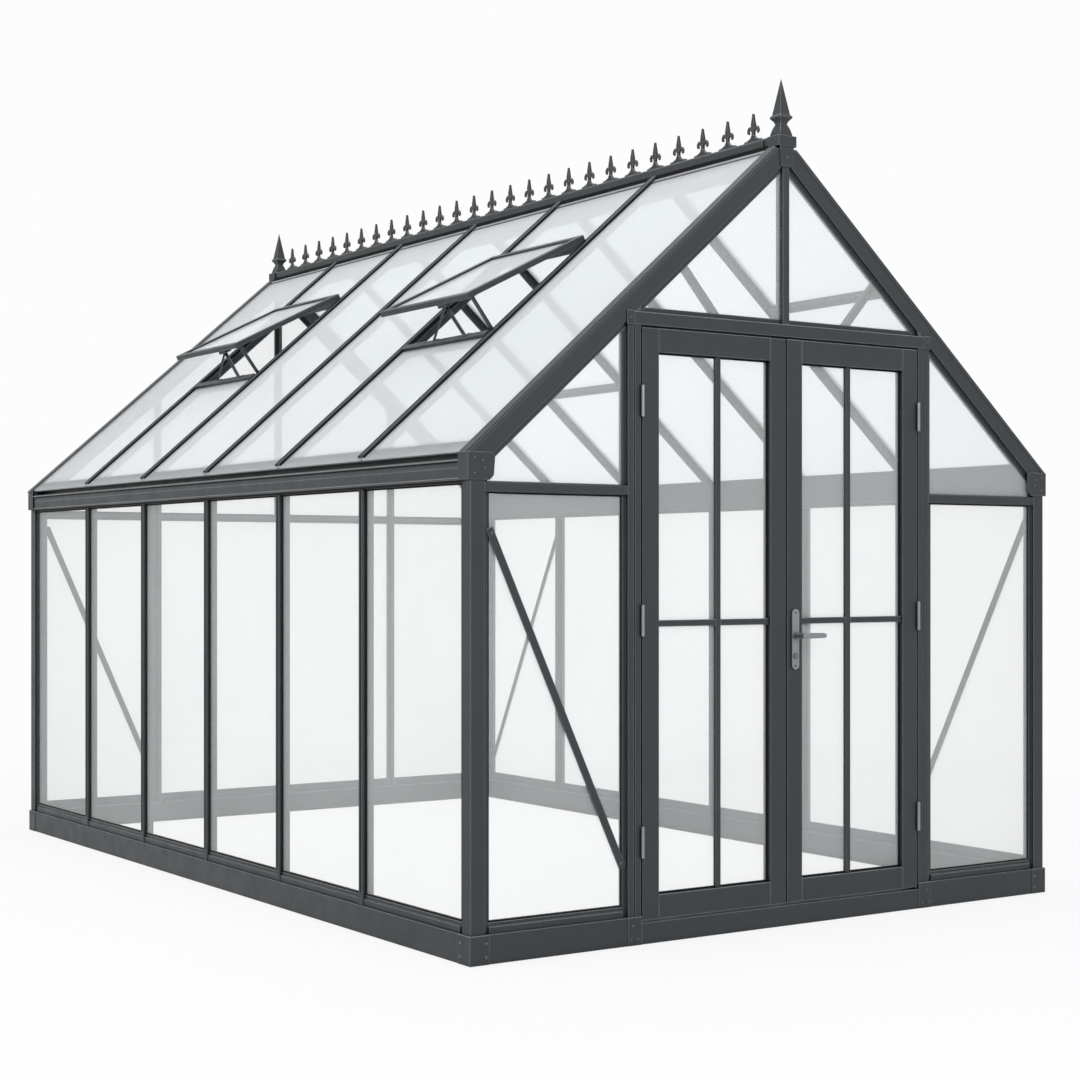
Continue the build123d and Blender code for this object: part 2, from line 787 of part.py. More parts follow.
def neck_only(points):
    """Drop the lip's corners, so that the cap ends in its neck."""
    return [(a, n) for a, n in points if n > 0 or abs(a) <= BAR_NECK / 2]


def right_roof_bars():
    return [to_right(s) for s in left_roof_bars()]


def cross_rail(bay, run, profile):
    """A rail between two roof bars, from an outline of distance up the slope and normal."""
    y0 = bay_start(bay)
    y1 = bay_end(bay)
    middle = run / COS_ROOF
    face = make_face(Polyline(*[(middle + s, y0, n) for s, n in profile], close=True))
    return left_slope() * extrude(face, amount=y1 - y0, dir=(0, 1, 0))


def bay_start(bay):
    return BAR_YS[bay - 1] if bay else front_y(POST_END)


def bay_end(bay):
    return BAR_YS[bay] if bay < BAYS - 1 else -front_y(POST_END)


def vent_sill_profile():
    half = CROSS_RAIL / 2
    return [
        (-half, -CROSS_RAIL_DEPTH),
        (half, -CROSS_RAIL_DEPTH),
        (half, CROSS_RAIL_UPSTAND),
        (half - UPSTAND_WALL, CROSS_RAIL_UPSTAND),
        (half - UPSTAND_WALL, 0),
        (-half, 0),
    ]


def vent_head_profile():
    half = CROSS_RAIL / 2
    return [
        (-half, -CROSS_RAIL_DEPTH),
        (half, -CROSS_RAIL_DEPTH),
        (half, 0),
        (-half + UPSTAND_WALL, 0),
        (-half + UPSTAND_WALL, HINGE_UPSTAND),
        (-half, HINGE_UPSTAND),
    ]


def plain_rail_profile():
    half = CROSS_RAIL / 2
    return [(-half, -CROSS_RAIL_DEPTH), (half, -CROSS_RAIL_DEPTH), (half, 0), (-half, 0)]


def vent_sills():
    return [cross_rail(bay, VENT_SILL, vent_sill_profile()) for bay in VENT_BAYS]


def roof_cross_rails():
    rails = vent_sills() + [cross_rail(bay, VENT_HEAD, vent_head_profile()) for bay in VENT_BAYS]
    rails = cut_all(rails, left_roof_bars())
    plain = [
        cross_rail(0, FRONT_RAIL, plain_rail_profile()),
        cross_rail(REAR_RAIL_BAY, VENT_SILL, plain_rail_profile()),
    ]
    plain = cut_all(plain, left_roof_bars())
    return rails + [to_right(s) for s in plain]


def roof_pane_sides(bay):
    gap = BAR_NECK / 2 + PANE_GAP
    verge = front_y(SETBACK + VERGE_START + SETBACK + PANE_GAP)
    start = BAR_YS[bay - 1] + gap if bay else verge
    stop = BAR_YS[bay] - gap if bay < BAYS - 1 else -verge
    return start, stop


def roof_pane(bay, run0, run1):
    start, stop = roof_pane_sides(bay)
    outline = [(start, 0), (stop, 0), (stop, ROOF_PANE), (start, ROOF_PANE)]
    return up_slope(outline, run0, run1)


def left_roof_panes():
    ridge = WIDTH / 2 - RIDGE_HEAD / 2
    panes = []
    for bay in range(BAYS):
        if bay in VENT_BAYS:
            under = VENT_SILL + (CROSS_RAIL / 2 - UPSTAND_WALL - PANE_GAP) * COS_ROOF
            over = VENT_HEAD + (-CROSS_RAIL / 2 + UPSTAND_WALL + PANE_GAP) * COS_ROOF
            panes.append(roof_pane(bay, GUTTER_EDGE, under))
            panes.append(roof_pane(bay, over, ridge))
        else:
            panes.append(roof_pane(bay, GUTTER_EDGE, ridge))
    return panes


def right_roof_panes():
    ridge = WIDTH / 2 - RIDGE_HEAD / 2
    return [to_right(roof_pane(bay, GUTTER_EDGE, ridge)) for bay in range(BAYS)]


# Vents

def sash_plane(bay):
    """Plane of an open sash: local X down the slope from its hinge, local Z outwards."""
    lean = math.radians(ROOF_PITCH - VENT_OPEN)
    hinge = slope_point(VENT_HEAD - (CROSS_RAIL / 2 - UPSTAND_WALL / 2) * COS_ROOF, 0, HINGE_UPSTAND)
    centre = (bay_start(bay) + bay_end(bay)) / 2
    return Plane(
        origin=(hinge.X, centre, hinge.Z),
        x_dir=(-math.cos(lean), 0, -math.sin(lean)),
        z_dir=(-math.sin(lean), 0, math.cos(lean)),
    )


def sash_length():
    return (VENT_HEAD - VENT_SILL) / COS_ROOF


def sash_width(bay):
    return bay_end(bay) - bay_start(bay) - VENT_SIDE_GAP


def sash_glass(bay):
    length = sash_length() - 2 * (SASH_BAR - SASH_REBATE)
    width = sash_width(bay) - 2 * (SASH_BAR - SASH_REBATE)
    middle = Pos(sash_length() / 2, 0, SASH_THICKNESS / 2)
    return sash_plane(bay) * (middle * Box(length, width, PANE))


def sash_frame(bay):
    length = sash_length()
    width = sash_width(bay)
    middle = Pos(length / 2, 0, SASH_THICKNESS / 2)
    frame = Box(length, width, SASH_THICKNESS)
    hole = Box(length - 2 * SASH_BAR, width - 2 * SASH_BAR, SASH_THICKNESS)
    return sash_plane(bay) * (middle * (frame - hole)) - sash_glass(bay)


def vent_sashes():
    return [sash_frame(bay) for bay in VENT_BAYS]


def vent_panes():
    return [sash_glass(bay) for bay in VENT_BAYS]


def strut_between(start, stop, width, thickness):
    """A flat bar between two points, with its broad side across the ridge direction."""
    axis = stop - start
    flat = Plane(origin=start, x_dir=Vector(0, 1, 0).cross(axis), z_dir=axis)
    bar = Pos(0, 0, axis.length / 2) * Box(thickness, width, axis.length)
    return flat * bar


def vent_stays():
    """Two stays under each sash, from the vent's cross rail to the sash's lower bar."""
    stays = []
    sills = vent_sills()
    for index, bay in enumerate(VENT_BAYS):
        centre = (bay_start(bay) + bay_end(bay)) / 2
        plane = sash_plane(bay)
        frame = sash_frame(bay)
        for foot, head in zip(STAY_FEET, STAY_HEADS):
            start = slope_point(VENT_SILL + CROSS_RAIL / 2 * COS_ROOF, centre + foot, -CROSS_RAIL_DEPTH / 2)
            local = Vector(sash_length() - SASH_BAR / 2, -head, SASH_THICKNESS / 2)
            stop = plane.from_local_coords(local)
            stay = strut_between(start, stop, STAY_WIDTH, STAY_DEPTH)
            pieces = (stay - frame - sills[index]).solids()
            stays.append(max(pieces, key=lambda s: s.volume))
    return stays


# Wall panes

def left_wall_panes():
    gap = BAR_NECK / 2 + PANE_GAP
    edge = front_y(POST_END + PANE_GAP)
    starts = [edge] + [y + gap for y in BAR_YS]
    stops = [y - gap for y in BAR_YS] + [-edge]
    bottom = BASE_HEIGHT + SILL_RAIL_FLOOR
    top = GUTTER_BASE - PANE_GAP
    depth0 = side_x(PANE_DEPTH)
    depth1 = side_x(PANE_DEPTH + PANE)
    return [block(depth0, depth1, a, b, bottom, top) for a, b in zip(starts, stops)]


def right_wall_panes():
    return [to_right(s) for s in left_wall_panes()]


def gable_pane(x0, x1, bottom):
    """Pane under the left rafter, between two uprights."""
    clear = -RAFTER_DEPTH - PANE_GAP
    return front_pane([(x0, bottom), (x1, bottom), (x1, roof_z(x1, clear)), (x0, roof_z(x0, clear))])


def front_panes():
    corner = side_x(POST_END + PANE_GAP)
    post = -DOOR_POST_OUT - PANE_GAP
    bottom = BASE_HEIGHT + SILL_RAIL_FLOOR
    middle = BAR_NECK / 2 + PANE_GAP
    below = TRANSOM_HEIGHT - middle
    above = TRANSOM_HEIGHT + middle
    lower = front_pane([(corner, bottom), (post, bottom), (post, below), (corner, below)])
    upper = gable_pane(corner, post, above)
    gable = gable_pane(-OPENING / 2 + PANE_GAP, -middle, HEADER_TOP + PANE_GAP)
    return both_sides(lower) + both_sides(upper) + both_sides(gable)


def back_panes():
    middle = BAR_NECK / 2 + PANE_GAP
    corner = side_x(POST_END + PANE_GAP)
    bottom = BASE_HEIGHT + SILL_RAIL_FLOOR
    below = TRANSOM_HEIGHT - middle
    above = TRANSOM_HEIGHT + middle
    left = -BACK_BAR - middle
    right = -BACK_BAR + middle
    side = front_pane([(corner, bottom), (left, bottom), (left, below), (corner, below)])
    centre = front_pane([(right, bottom), (-right, bottom), (-right, below), (right, below)])
    upper = gable_pane(corner, left, above)
    gable = gable_pane(right, -middle, above)
    panes = both_sides(side) + [centre] + both_sides(upper) + both_sides(gable)
    return [to_back(s) for s in panes]


# Wall braces

def strap(along0, z0, along1, z1):
    """Flat bar with round ends and a bolt hole in each, drawn in the XY plane."""
    length = math.hypot(along1 - along0, z1 - z0)
    angle = math.degrees(math.atan2(z1 - z0, along1 - along0))
    shape = SlotCenterToCenter(length, STAY_BAR)
    for end in (-length / 2, length / 2):
        shape = shape - Pos(end, 0) * Circle(BRACE_HOLE)
    middle = Pos((along0 + along1) / 2, (z0 + z1) / 2)
    return extrude(middle * Rot(0, 0, angle) * shape, amount=STAY_THICKNESS)


def wall_braces():
    """Braces inside one front bay, one back bay and the two end bays of the right wall."""
    inset_post = STAY_BAR / 2 + PANE_GAP
    inset_bar = inset_post + BAR_NECK / 2
    top = GUTTER_BASE - POST * 2
    foot = BASE_HEIGHT + POST * 2
    corner = side_x(POST_END + inset_post)
    front_face = Plane(origin=(0, front_y(INNER_LIP), 0), x_dir=(-1, 0, 0), z_dir=(0, 1, 0))
    front = front_face * strap(-corner, top, DOOR_POST_OUT + inset_post, foot)
    back = to_back(front_face * strap(-corner, top, BACK_BAR + inset_bar, foot))
    side_face = Plane(origin=(-side_x(INNER_LIP), 0, 0), x_dir=(0, -1, 0), z_dir=(-1, 0, 0))
    near = -front_y(POST_END + inset_post)
    side_front = side_face * strap(near, top, -BAR_YS[0] + inset_bar, foot)
    side_back = side_face * strap(-near, foot, -BAR_YS[-1] - inset_bar, top)
    return [front, back, side_front, side_back]


# Doors

LEAF_OUT = OPENING / 2 - SIDE_GAP
LEAF_IN = MIDDLE_GAP / 2
LEAF_FRONT = front_y(SETBACK)
LEAF_BACK = front_y(SETBACK + LEAF_THICKNESS)
GLASS_FRONT = LEAF_FRONT + GLASS_INSET
GLASS_BACK = GLASS_FRONT + PANE


def leaf_stiles():
    """Left leaf: hollow hinge stile and meeting stile, grooved for the glass."""
    solid_part = GROOVE + LEAF_WALL
    w = LEAF_WALL
    x0 = -LEAF_OUT
    x1 = x0 + STILE
    hinge = block(x0, x1, LEAF_FRONT, LEAF_BACK, LEAF_BOTTOM, LEAF_TOP)
    hinge = hinge - block(
        x0 + w, x1 - solid_part, LEAF_FRONT + w, LEAF_BACK - w, LEAF_BOTTOM + w, LEAF_TOP - w
    )
    hinge = hinge - block(x1 - GROOVE, x1, GLASS_FRONT, GLASS_BACK, LEAF_BOTTOM, LEAF_TOP)
    x2 = -LEAF_IN - STILE
    x3 = -LEAF_IN
    outline = [(x2, LEAF_FRONT), (x3, LEAF_FRONT), (x3 - EDGE_BEVEL, LEAF_BACK), (x2, LEAF_BACK)]
    meeting = prism_z(outline, LEAF_BOTTOM, LEAF_TOP)
    meeting = meeting - block(
        x2 + solid_part,
        x3 - EDGE_BEVEL - w,
        LEAF_FRONT + w,
        LEAF_BACK - w,
        LEAF_BOTTOM + w,
        LEAF_TOP - w,
    )
    meeting = meeting - block(x2, x2 + GROOVE, GLASS_FRONT, GLASS_BACK, LEAF_BOTTOM, LEAF_TOP)
    return [hinge, meeting]


def leaf_rails():
    """Left leaf: hollow top and bottom rails, grooved for the glass."""
    x0 = -LEAF_OUT + STILE
    x1 = -LEAF_IN - STILE
    w = LEAF_WALL
    solid_part = GROOVE + LEAF_WALL
    rails = []
    for z0, z1, side in (
        (LEAF_BOTTOM, LEAF_BOTTOM + DOOR_RAIL, 1),
        (LEAF_TOP - DOOR_RAIL, LEAF_TOP, -1),
    ):
        rail = block(x0, x1, LEAF_FRONT, LEAF_BACK, z0, z1)
        low = z0 + (w if side > 0 else solid_part)
        high = z1 - (solid_part if side > 0 else w)
        rail = rail - block(x0, x1, LEAF_FRONT + w, LEAF_BACK - w, low, high)
        inner = z1 - GROOVE if side > 0 else z0
        rail = rail - block(x0, x1, GLASS_FRONT, GLASS_BACK, inner, inner + GROOVE)
        rails.append(rail)
    return rails


def leaf_glass():
    reach = GROOVE - PANE_GAP
    x0 = -LEAF_OUT + STILE - reach
    x1 = -LEAF_IN - STILE + reach
    z0 = LEAF_BOTTOM + DOOR_RAIL - reach
    z1 = LEAF_TOP - DOOR_RAIL + reach
    return [block(x0, x1, GLASS_FRONT, GLASS_BACK, z0, z1)]


def leaf_muntins():
    """Left leaf: a cross of bars on each face of the glass."""
    x0 = -LEAF_OUT + STILE
    x1 = -LEAF_IN - STILE
    middle = (x0 + x1) / 2
    half = MUNTIN / 2
    z0 = LEAF_BOTTOM + DOOR_RAIL
    z1 = LEAF_TOP - DOOR_RAIL
    crosses = []
    for y0 in (GLASS_FRONT - MUNTIN_DEPTH, GLASS_BACK):
        y1 = y0 + MUNTIN_DEPTH
        upright = block(middle - half, middle + half, y0, y1, z0, z1)
        level = block(x0, x1, y0, y1, MUNTIN_HEIGHT - half, MUNTIN_HEIGHT + half)
        crosses.append(upright + level)
    return crosses


HINGE_X = OPENING / 2 - SIDE_GAP / 2
HINGE_Y = front_y(-HINGE_OUT)


def knuckle(radius, bottom, top):
    middle = (bottom + top) / 2
    return Pos(-HINGE_X, HINGE_Y, middle) * Cylinder(radius, top - bottom)


def fixed_hinges():
    """Hinge halves on the left door post: two end knuckles and a plate."""
    x0 = -OPENING / 2
    x1 = x0 + HINGE_PLATE
    inner = LEAF_FRONT + HINGE_FIT * 10
    halves = []
    for z in HINGE_HEIGHTS:
        low = z - HINGE_LENGTH / 2
        high = z + HINGE_LENGTH / 2
        half = block(x0, x1, inner, inner + HINGE_PLATE_DEPTH, low, high)
        for z0, z1 in ((low, z - HINGE_KNUCKLE / 2), (z + HINGE_KNUCKLE / 2, high)):
            tab = block(x0, x1, HINGE_Y, inner, z0, z1)
            half = half + tab + knuckle(HINGE_RADIUS, z0, z1)
        halves.append(half - knuckle(HINGE_PIN + HINGE_FIT, low, high))
    return halves


def moving_hinges():
    """Hinge halves on the left leaf: middle knuckle, pin and plate."""
    x1 = -LEAF_OUT
    x0 = x1 - HINGE_PLATE
    inner = LEAF_FRONT + HINGE_FIT * 10
    halves = []
    for z in HINGE_HEIGHTS:
        low = z - HINGE_LENGTH / 2
        high = z + HINGE_LENGTH / 2
        reach = HINGE_KNUCKLE / 2 - HINGE_PLAY
        half = block(x0, x1, inner, inner + HINGE_PLATE_DEPTH, low, high)
        half = half + block(x0, x1, HINGE_Y, inner, z - reach, z + reach)
        half = half + knuckle(HINGE_RADIUS, z - reach, z + reach)
        halves.append(half + knuckle(HINGE_PIN, low, high))
    return halves


def door_hinges():
    return [s for half in fixed_hinges() for s in both_sides(half)]


# Door handle

def across_stile(radius, x, z, y0, y1):
    """A round bar or bore through the meeting stile, front to back."""
    bar = Rot(90, 0, 0) * Cylinder(radius, y1 - y0)
    return Pos(x, (y0 + y1) / 2, z) * bar


def lever_bores():
    through = across_stile(SPINDLE_HOLE, HANDLE_CENTRE, HANDLE_HEIGHT, LEAF_FRONT - POST, LEAF_BACK + POST)
    return through


def right_leaf_stiles():
    hinge, meeting = [to_right(s) for s in leaf_stiles()]
    lock = across_stile(LOCK_RADIUS, HANDLE_CENTRE, LOCK_HEIGHT, LEAF_FRONT, LEAF_BACK)
    return [hinge, meeting - lever_bores() - lock]


def handle_plates():
    """Long rounded plate on each face of the stile, with a boss and the lock's cylinder."""
    plates = []
    slot = SlotOverall(PLATE_LENGTH, PLATE_WIDTH)
    for face, outwards in ((LEAF_FRONT, -1), (LEAF_BACK, 1)):
        far = face + outwards * PLATE_THICKNESS
        sketch = Plane.XZ * (Rot(0, 0, 90) * slot)
        plate = Pos(HANDLE_CENTRE, max(face, far), PLATE_HEIGHT) * extrude(sketch, amount=PLATE_THICKNESS)
        boss_end = far + outwards * BOSS_HEIGHT
        boss = across_stile(
            BOSS_RADIUS, HANDLE_CENTRE, HANDLE_HEIGHT, min(far, boss_end), max(far, boss_end)
        )
        lock_end = far + outwards * LOCK_OUT
        middle = (LEAF_FRONT + LEAF_BACK) / 2 - outwards * LEVER_PLAY / 2
        lock = across_stile(
            LOCK_RADIUS, HANDLE_CENTRE, LOCK_HEIGHT, min(middle, lock_end), max(middle, lock_end)
        )
        plates.append(plate + boss + lock - lever_bores())
    return plates


def lever_handle():
    """Levers on both faces, carried by one square spindle."""
    front_boss = LEAF_FRONT - PLATE_THICKNESS - BOSS_HEIGHT - LEVER_PLAY
    back_boss = LEAF_BACK + PLATE_THICKNESS + BOSS_HEIGHT + LEVER_PLAY
    half = SPINDLE / 2
    x, z = HANDLE_CENTRE, HANDLE_HEIGHT
    handle = block(x - half, x + half, front_boss, back_boss, z - half, z + half)
    sketch = Plane.XZ * (Pos(LEVER_LENGTH / 2, 0) * SlotCenterToCenter(LEVER_LENGTH, LEVER_WIDTH))
    for base, outwards in ((front_boss, -1), (back_boss, 1)):
        far = base + outwards * LEVER_STANDOFF
        neck = across_stile(NECK_RADIUS, x, z, min(base, far), max(base, far))
        outer = far + outwards * LEVER_THICKNESS
        grip = Pos(x, max(far, outer), z) * extrude(sketch, amount=LEVER_THICKNESS)
        handle = handle + neck + grip
    return [handle]


def mirrored(builder):
    return [to_right(s) for s in builder()]


NODES = {
    "base_side_rails": base_side_rails,
    "base_end_rails": base_end_rails,
    "door_sill": door_sill,
    "base_brackets": base_brackets,
    "left_sill_rail": left_sill_rail,
    "right_sill_rail": right_sill_rail,
    "end_sill_rails": end_sill_rails,
    "corner_posts": corner_posts,
    "left_wall_bars": left_wall_bars,
    "right_wall_bars": right_wall_bars,
    "back_wall_bars": back_wall_bars,
    "door_posts": door_posts,
    "door_header": door_header,
    "transoms": transoms,
    "gable_bars": gable_bars,
    "apex_plates": apex_plates,
    "gutters": gutters,
    "eave_cover_plates": eave_cover_plates,
    "left_gable_rafters": left_gable_rafters,
    "right_gable_rafters": right_gable_rafters,
    "ridge_beam": ridge_beam,
    "ridge_cap": ridge_cap,
    "ridge_cresting": ridge_cresting,
    "finials": finials,
    "left_roof_bars": left_roof_bars,
    "right_roof_bars": right_roof_bars,
    "roof_cross_rails": roof_cross_rails,
    "left_roof_panes": left_roof_panes,
    "right_roof_panes": right_roof_panes,
    "left_wall_panes": left_wall_panes,
    "right_wall_panes": right_wall_panes,
    "front_panes": front_panes,
    "back_panes": back_panes,
    "wall_braces": wall_braces,
    "vent_sashes": vent_sashes,
    "vent_panes": vent_panes,
    "vent_stays": vent_stays,
    "door_hinges": door_hinges,
    "left_door_stiles": leaf_stiles,
    "left_door_rails": leaf_rails,
    "left_door_muntins": leaf_muntins,
    "left_door_glass": leaf_glass,
    "left_door_hinges": moving_hinges,
    "right_door_stiles": right_leaf_stiles,
    "right_door_rails": lambda: mirrored(leaf_rails),
    "right_door_muntins": lambda: mirrored(leaf_muntins),
    "right_door_glass": lambda: mirrored(leaf_glass),
    "right_door_hinges": lambda: mirrored(moving_hinges),
    "handle_plates": handle_plates,
    "lever_handle": lever_handle,
}


def main():
    os.makedirs("parts", exist_ok=True)
    centring = Pos(0, CENTRE_SHIFT, 0)
    for name, builder in NODES.items():
        solids = [solid for shape in builder() for solid in shape.solids()]
        placed = [centring * solid for solid in solids]
        export_step(placed[0] if len(placed) == 1 else Compound(children=placed), f"parts/{name}.step")


main()
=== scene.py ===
# %% [markdown]
# A greenhouse is a frame of painted extrusions around large clear sheets. Its solids are already
# modelled to size, so this lesson gives them finishes, adds the small fittings that catch the
# light, and sets up a plain studio. The frame is loaded first, and its solids and record are
# kept for later.

# %% Load the solids
import json
import math

import bmesh
import bpy
from mathutils import Matrix, Vector


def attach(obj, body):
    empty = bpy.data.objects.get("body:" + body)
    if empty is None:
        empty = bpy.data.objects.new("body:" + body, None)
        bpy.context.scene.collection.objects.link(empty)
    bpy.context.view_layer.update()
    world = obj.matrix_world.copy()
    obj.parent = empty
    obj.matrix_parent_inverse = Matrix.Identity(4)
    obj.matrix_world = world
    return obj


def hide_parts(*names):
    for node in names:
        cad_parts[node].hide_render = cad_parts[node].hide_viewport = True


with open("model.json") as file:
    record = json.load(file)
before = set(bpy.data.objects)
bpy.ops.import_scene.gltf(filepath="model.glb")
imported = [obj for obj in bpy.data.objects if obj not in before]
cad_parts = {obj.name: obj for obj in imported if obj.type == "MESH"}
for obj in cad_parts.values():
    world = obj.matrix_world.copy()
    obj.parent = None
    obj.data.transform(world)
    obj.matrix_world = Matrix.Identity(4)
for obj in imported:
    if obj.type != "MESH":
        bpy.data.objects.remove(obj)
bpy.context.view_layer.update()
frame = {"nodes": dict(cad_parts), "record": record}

# %% [markdown]
# The camera stands at eye height off the door gable's left corner. It is kept level, so that
# uprights stay upright in the picture, and a small vertical shift brings the roof into the frame.

# %% Camera
scene = bpy.context.scene
lens = bpy.data.cameras.new("photo_camera")
lens.sensor_width = 36
lens.lens = 66.62
lens.shift_y = 0.02675
lens.clip_end = 60
camera = bpy.data.objects.new("photo_camera", lens)
camera.location = (-4.2453, -6.6927, 1.1469)
camera.rotation_euler = (math.radians(90), 0, math.radians(-33.93))
scene.collection.objects.link(camera)
scene.camera = camera
scene.view_settings.view_transform = "Standard"
scene.cycles.transparent_max_bounces = 32
print("camera", tuple(camera.location), "lens", lens.lens, "mm")

# %% [markdown]
# The studio is a white room. Camera, glossy and transmission rays see it at full strength, so
# the background, the reflections and the view through the panes are white, while the diffuse
# light on the object is softer and comes from the world and three large lamps.

# %% World and lamps


def white_to_the_eye(tree, soft):
    """A factor of 1 where a ray looks at the studio, and of soft where it lights something."""
    path = tree.nodes.new("ShaderNodeLightPath")
    seen = path.outputs["Is Camera Ray"]
    for name in ("Is Glossy Ray", "Is Transmission Ray"):
        either = tree.nodes.new("ShaderNodeMath")
        either.operation = "MAXIMUM"
        tree.links.new(seen, either.inputs[0])
        tree.links.new(path.outputs[name], either.inputs[1])
        seen = either.outputs[0]
    level = tree.nodes.new("ShaderNodeMapRange")
    level.inputs["To Min"].default_value = soft
    tree.links.new(seen, level.inputs["Value"])
    return level.outputs[0]


world = bpy.data.worlds.new("studio")
world.use_nodes = True
scene.world = world
background = world.node_tree.nodes["Background"]
background.inputs["Color"].default_value = (0.98, 0.98, 0.98, 1)
world.node_tree.links.new(white_to_the_eye(world.node_tree, 0.62), background.inputs["Strength"])


def add_lamp(name, place, size, watts):
    """A square soft box that points at the middle of the greenhouse."""
    lamp = bpy.data.lights.new(name, "AREA")
    lamp.size = size
    lamp.energy = watts
    holder = bpy.data.objects.new(name, lamp)
    holder.location = place
    aim = Vector((0, 0, 1.2)) - Vector(place)
    holder.rotation_euler = aim.to_track_quat("-Z", "Y").to_euler()
    scene.collection.objects.link(holder)


add_lamp("front_soft_box", (-1.5, -7.5, 4.5), 4, 210)
add_lamp("left_soft_box", (-7.5, 0.5, 4.0), 4, 190)
add_lamp("top_soft_box", (0.5, 0.5, 7.5), 5, 140)
print(len(bpy.data.lights), "soft boxes")

# %% [markdown]
# The floor is one large sheet of white paper. Near the greenhouse it takes a soft shadow, and
# further out it turns into plain white, so that no horizon shows behind the clear walls.

# %% Floor
FLOOR_REACH = 30  # from the middle to each edge
FLOOR_DROP = 0.002  # keeps the paper clear of the base's underside
PAPER_NEAR, PAPER_FAR = 2.2, 6.0  # where the paper starts to turn white, and where it is white
floor_mesh = bpy.data.meshes.new("studio_floor")
floor_shape = bmesh.new()
bmesh.ops.create_grid(floor_shape, x_segments=1, y_segments=1, size=FLOOR_REACH)
floor_shape.to_mesh(floor_mesh)
floor = bpy.data.objects.new("studio_floor", floor_mesh)
floor.data.transform(Matrix.Translation((0, 0, -FLOOR_DROP)))
scene.collection.objects.link(floor)
paper = bpy.data.materials.new("studio_paper")
paper.use_nodes = True
nodes, links = paper.node_tree.nodes, paper.node_tree.links
nodes.clear()
sheet = nodes.new("ShaderNodeBsdfDiffuse")
sheet.inputs["Color"].default_value = (0.9, 0.9, 0.9, 1)
glow = nodes.new("ShaderNodeEmission")
glow.inputs["Color"].default_value = (0.98, 0.98, 0.98, 1)
mix = nodes.new("ShaderNodeMixShader")
out = nodes.new("ShaderNodeOutputMaterial")
place = nodes.new("ShaderNodeTexCoord")
distance = nodes.new("ShaderNodeVectorMath")
distance.operation = "LENGTH"
links.new(place.outputs["Object"], distance.inputs[0])
far = nodes.new("ShaderNodeMapRange")
far.inputs["From Min"].default_value = PAPER_NEAR
far.inputs["From Max"].default_value = PAPER_FAR
far.inputs["To Min"].default_value = 0.86
links.new(distance.outputs["Value"], far.inputs["Value"])
seen = white_to_the_eye(paper.node_tree, 0.0)
share = nodes.new("ShaderNodeMath")
share.operation = "MULTIPLY"
links.new(seen, share.inputs[0])
links.new(far.outputs[0], share.inputs[1])
links.new(share.outputs[0], mix.inputs[0])
links.new(sheet.outputs[0], mix.inputs[1])
links.new(glow.outputs[0], mix.inputs[2])
links.new(mix.outputs[0], out.inputs[0])
floor_mesh.materials.append(paper)
print("floor of", 2 * FLOOR_REACH, "by", 2 * FLOOR_REACH, "metres")

# %% [markdown]
# Every finish is built from the same few steps: a new material, a noise that is fixed to the
# object, a range that turns it into a usable value, a colour mix, a mask for a painted highlight
# on sharp edges and one for painted shade in creases. They read Object coordinates or the
# surface itself, so a finish looks the same from every side and turns with a door.

# %% Steps for finishes


def new_finish(name):
    finish = bpy.data.materials.new(name)
    finish.use_nodes = True
    return finish, finish.node_tree, finish.node_tree.nodes["Principled BSDF"]


def object_noise(tree, scale):
    """A cloud that is fixed to the object, finer as scale grows."""
    place = tree.nodes.new("ShaderNodeTexCoord")
    noise = tree.nodes.new("ShaderNodeTexNoise")
    noise.inputs["Scale"].default_value = scale
    noise.inputs["Detail"].default_value = 2.0
    tree.links.new(place.outputs["Object"], noise.inputs["Vector"])
    return noise.outputs["Fac"]


def between(tree, factor, low, high, start=0.3, stop=0.7):
    """Turns start to stop of a factor into low to high."""
    level = tree.nodes.new("ShaderNodeMapRange")
    level.inputs["From Min"].default_value = start
    level.inputs["From Max"].default_value = stop
    level.inputs["To Min"].default_value = low
    level.inputs["To Max"].default_value = high
    tree.links.new(factor, level.inputs["Value"])
    return level.outputs[0]


def blended(tree, factor, first, second, way="MIX"):
    """A colour mix whose two ends are colours or sockets."""
    mixed = tree.nodes.new("ShaderNodeMix")
    mixed.data_type = "RGBA"
    mixed.blend_type = way
    if isinstance(factor, float):
        mixed.inputs[0].default_value = factor
    else:
        tree.links.new(factor, mixed.inputs[0])
    for socket, end in ((mixed.inputs[6], first), (mixed.inputs[7], second)):
        if isinstance(end, tuple):
            socket.default_value = (*end, 1)
        else:
            tree.links.new(end, socket)
    return mixed.outputs[2]


def edge_highlight_mask(tree, radius):
    """Where the painted highlight goes: 1 on sharp edges that look upwards, a third on the
    others, 0 on flat faces.
    """
    rounded = tree.nodes.new("ShaderNodeBevel")
    rounded.samples = 4
    rounded.inputs["Radius"].default_value = radius
    surface = tree.nodes.new("ShaderNodeNewGeometry")
    turn = tree.nodes.new("ShaderNodeVectorMath")
    turn.operation = "DOT_PRODUCT"
    tree.links.new(rounded.outputs[0], turn.inputs[0])
    tree.links.new(surface.outputs["Normal"], turn.inputs[1])
    edge = between(tree, turn.outputs["Value"], 1.0, 0.0, 0.8, 0.985)
    split = tree.nodes.new("ShaderNodeSeparateXYZ")
    tree.links.new(rounded.outputs[0], split.inputs[0])
    upward = between(tree, split.outputs["Z"], 0.35, 1.0, 0.2, 0.6)
    both = tree.nodes.new("ShaderNodeMath")
    both.operation = "MULTIPLY"
    tree.links.new(edge, both.inputs[0])
    tree.links.new(upward, both.inputs[1])
    return both.outputs[0]


def painted_crease_shade(tree, reach, dark):
    """Painted shade: dark in corners and in any gap narrower than reach, 1 in the open."""
    hollow = tree.nodes.new("ShaderNodeAmbientOcclusion")
    hollow.samples = 6
    hollow.inputs["Distance"].default_value = reach
    return between(tree, hollow.outputs["AO"], dark, 1.0, 0.3, 0.85)


print("steps for finishes are ready")
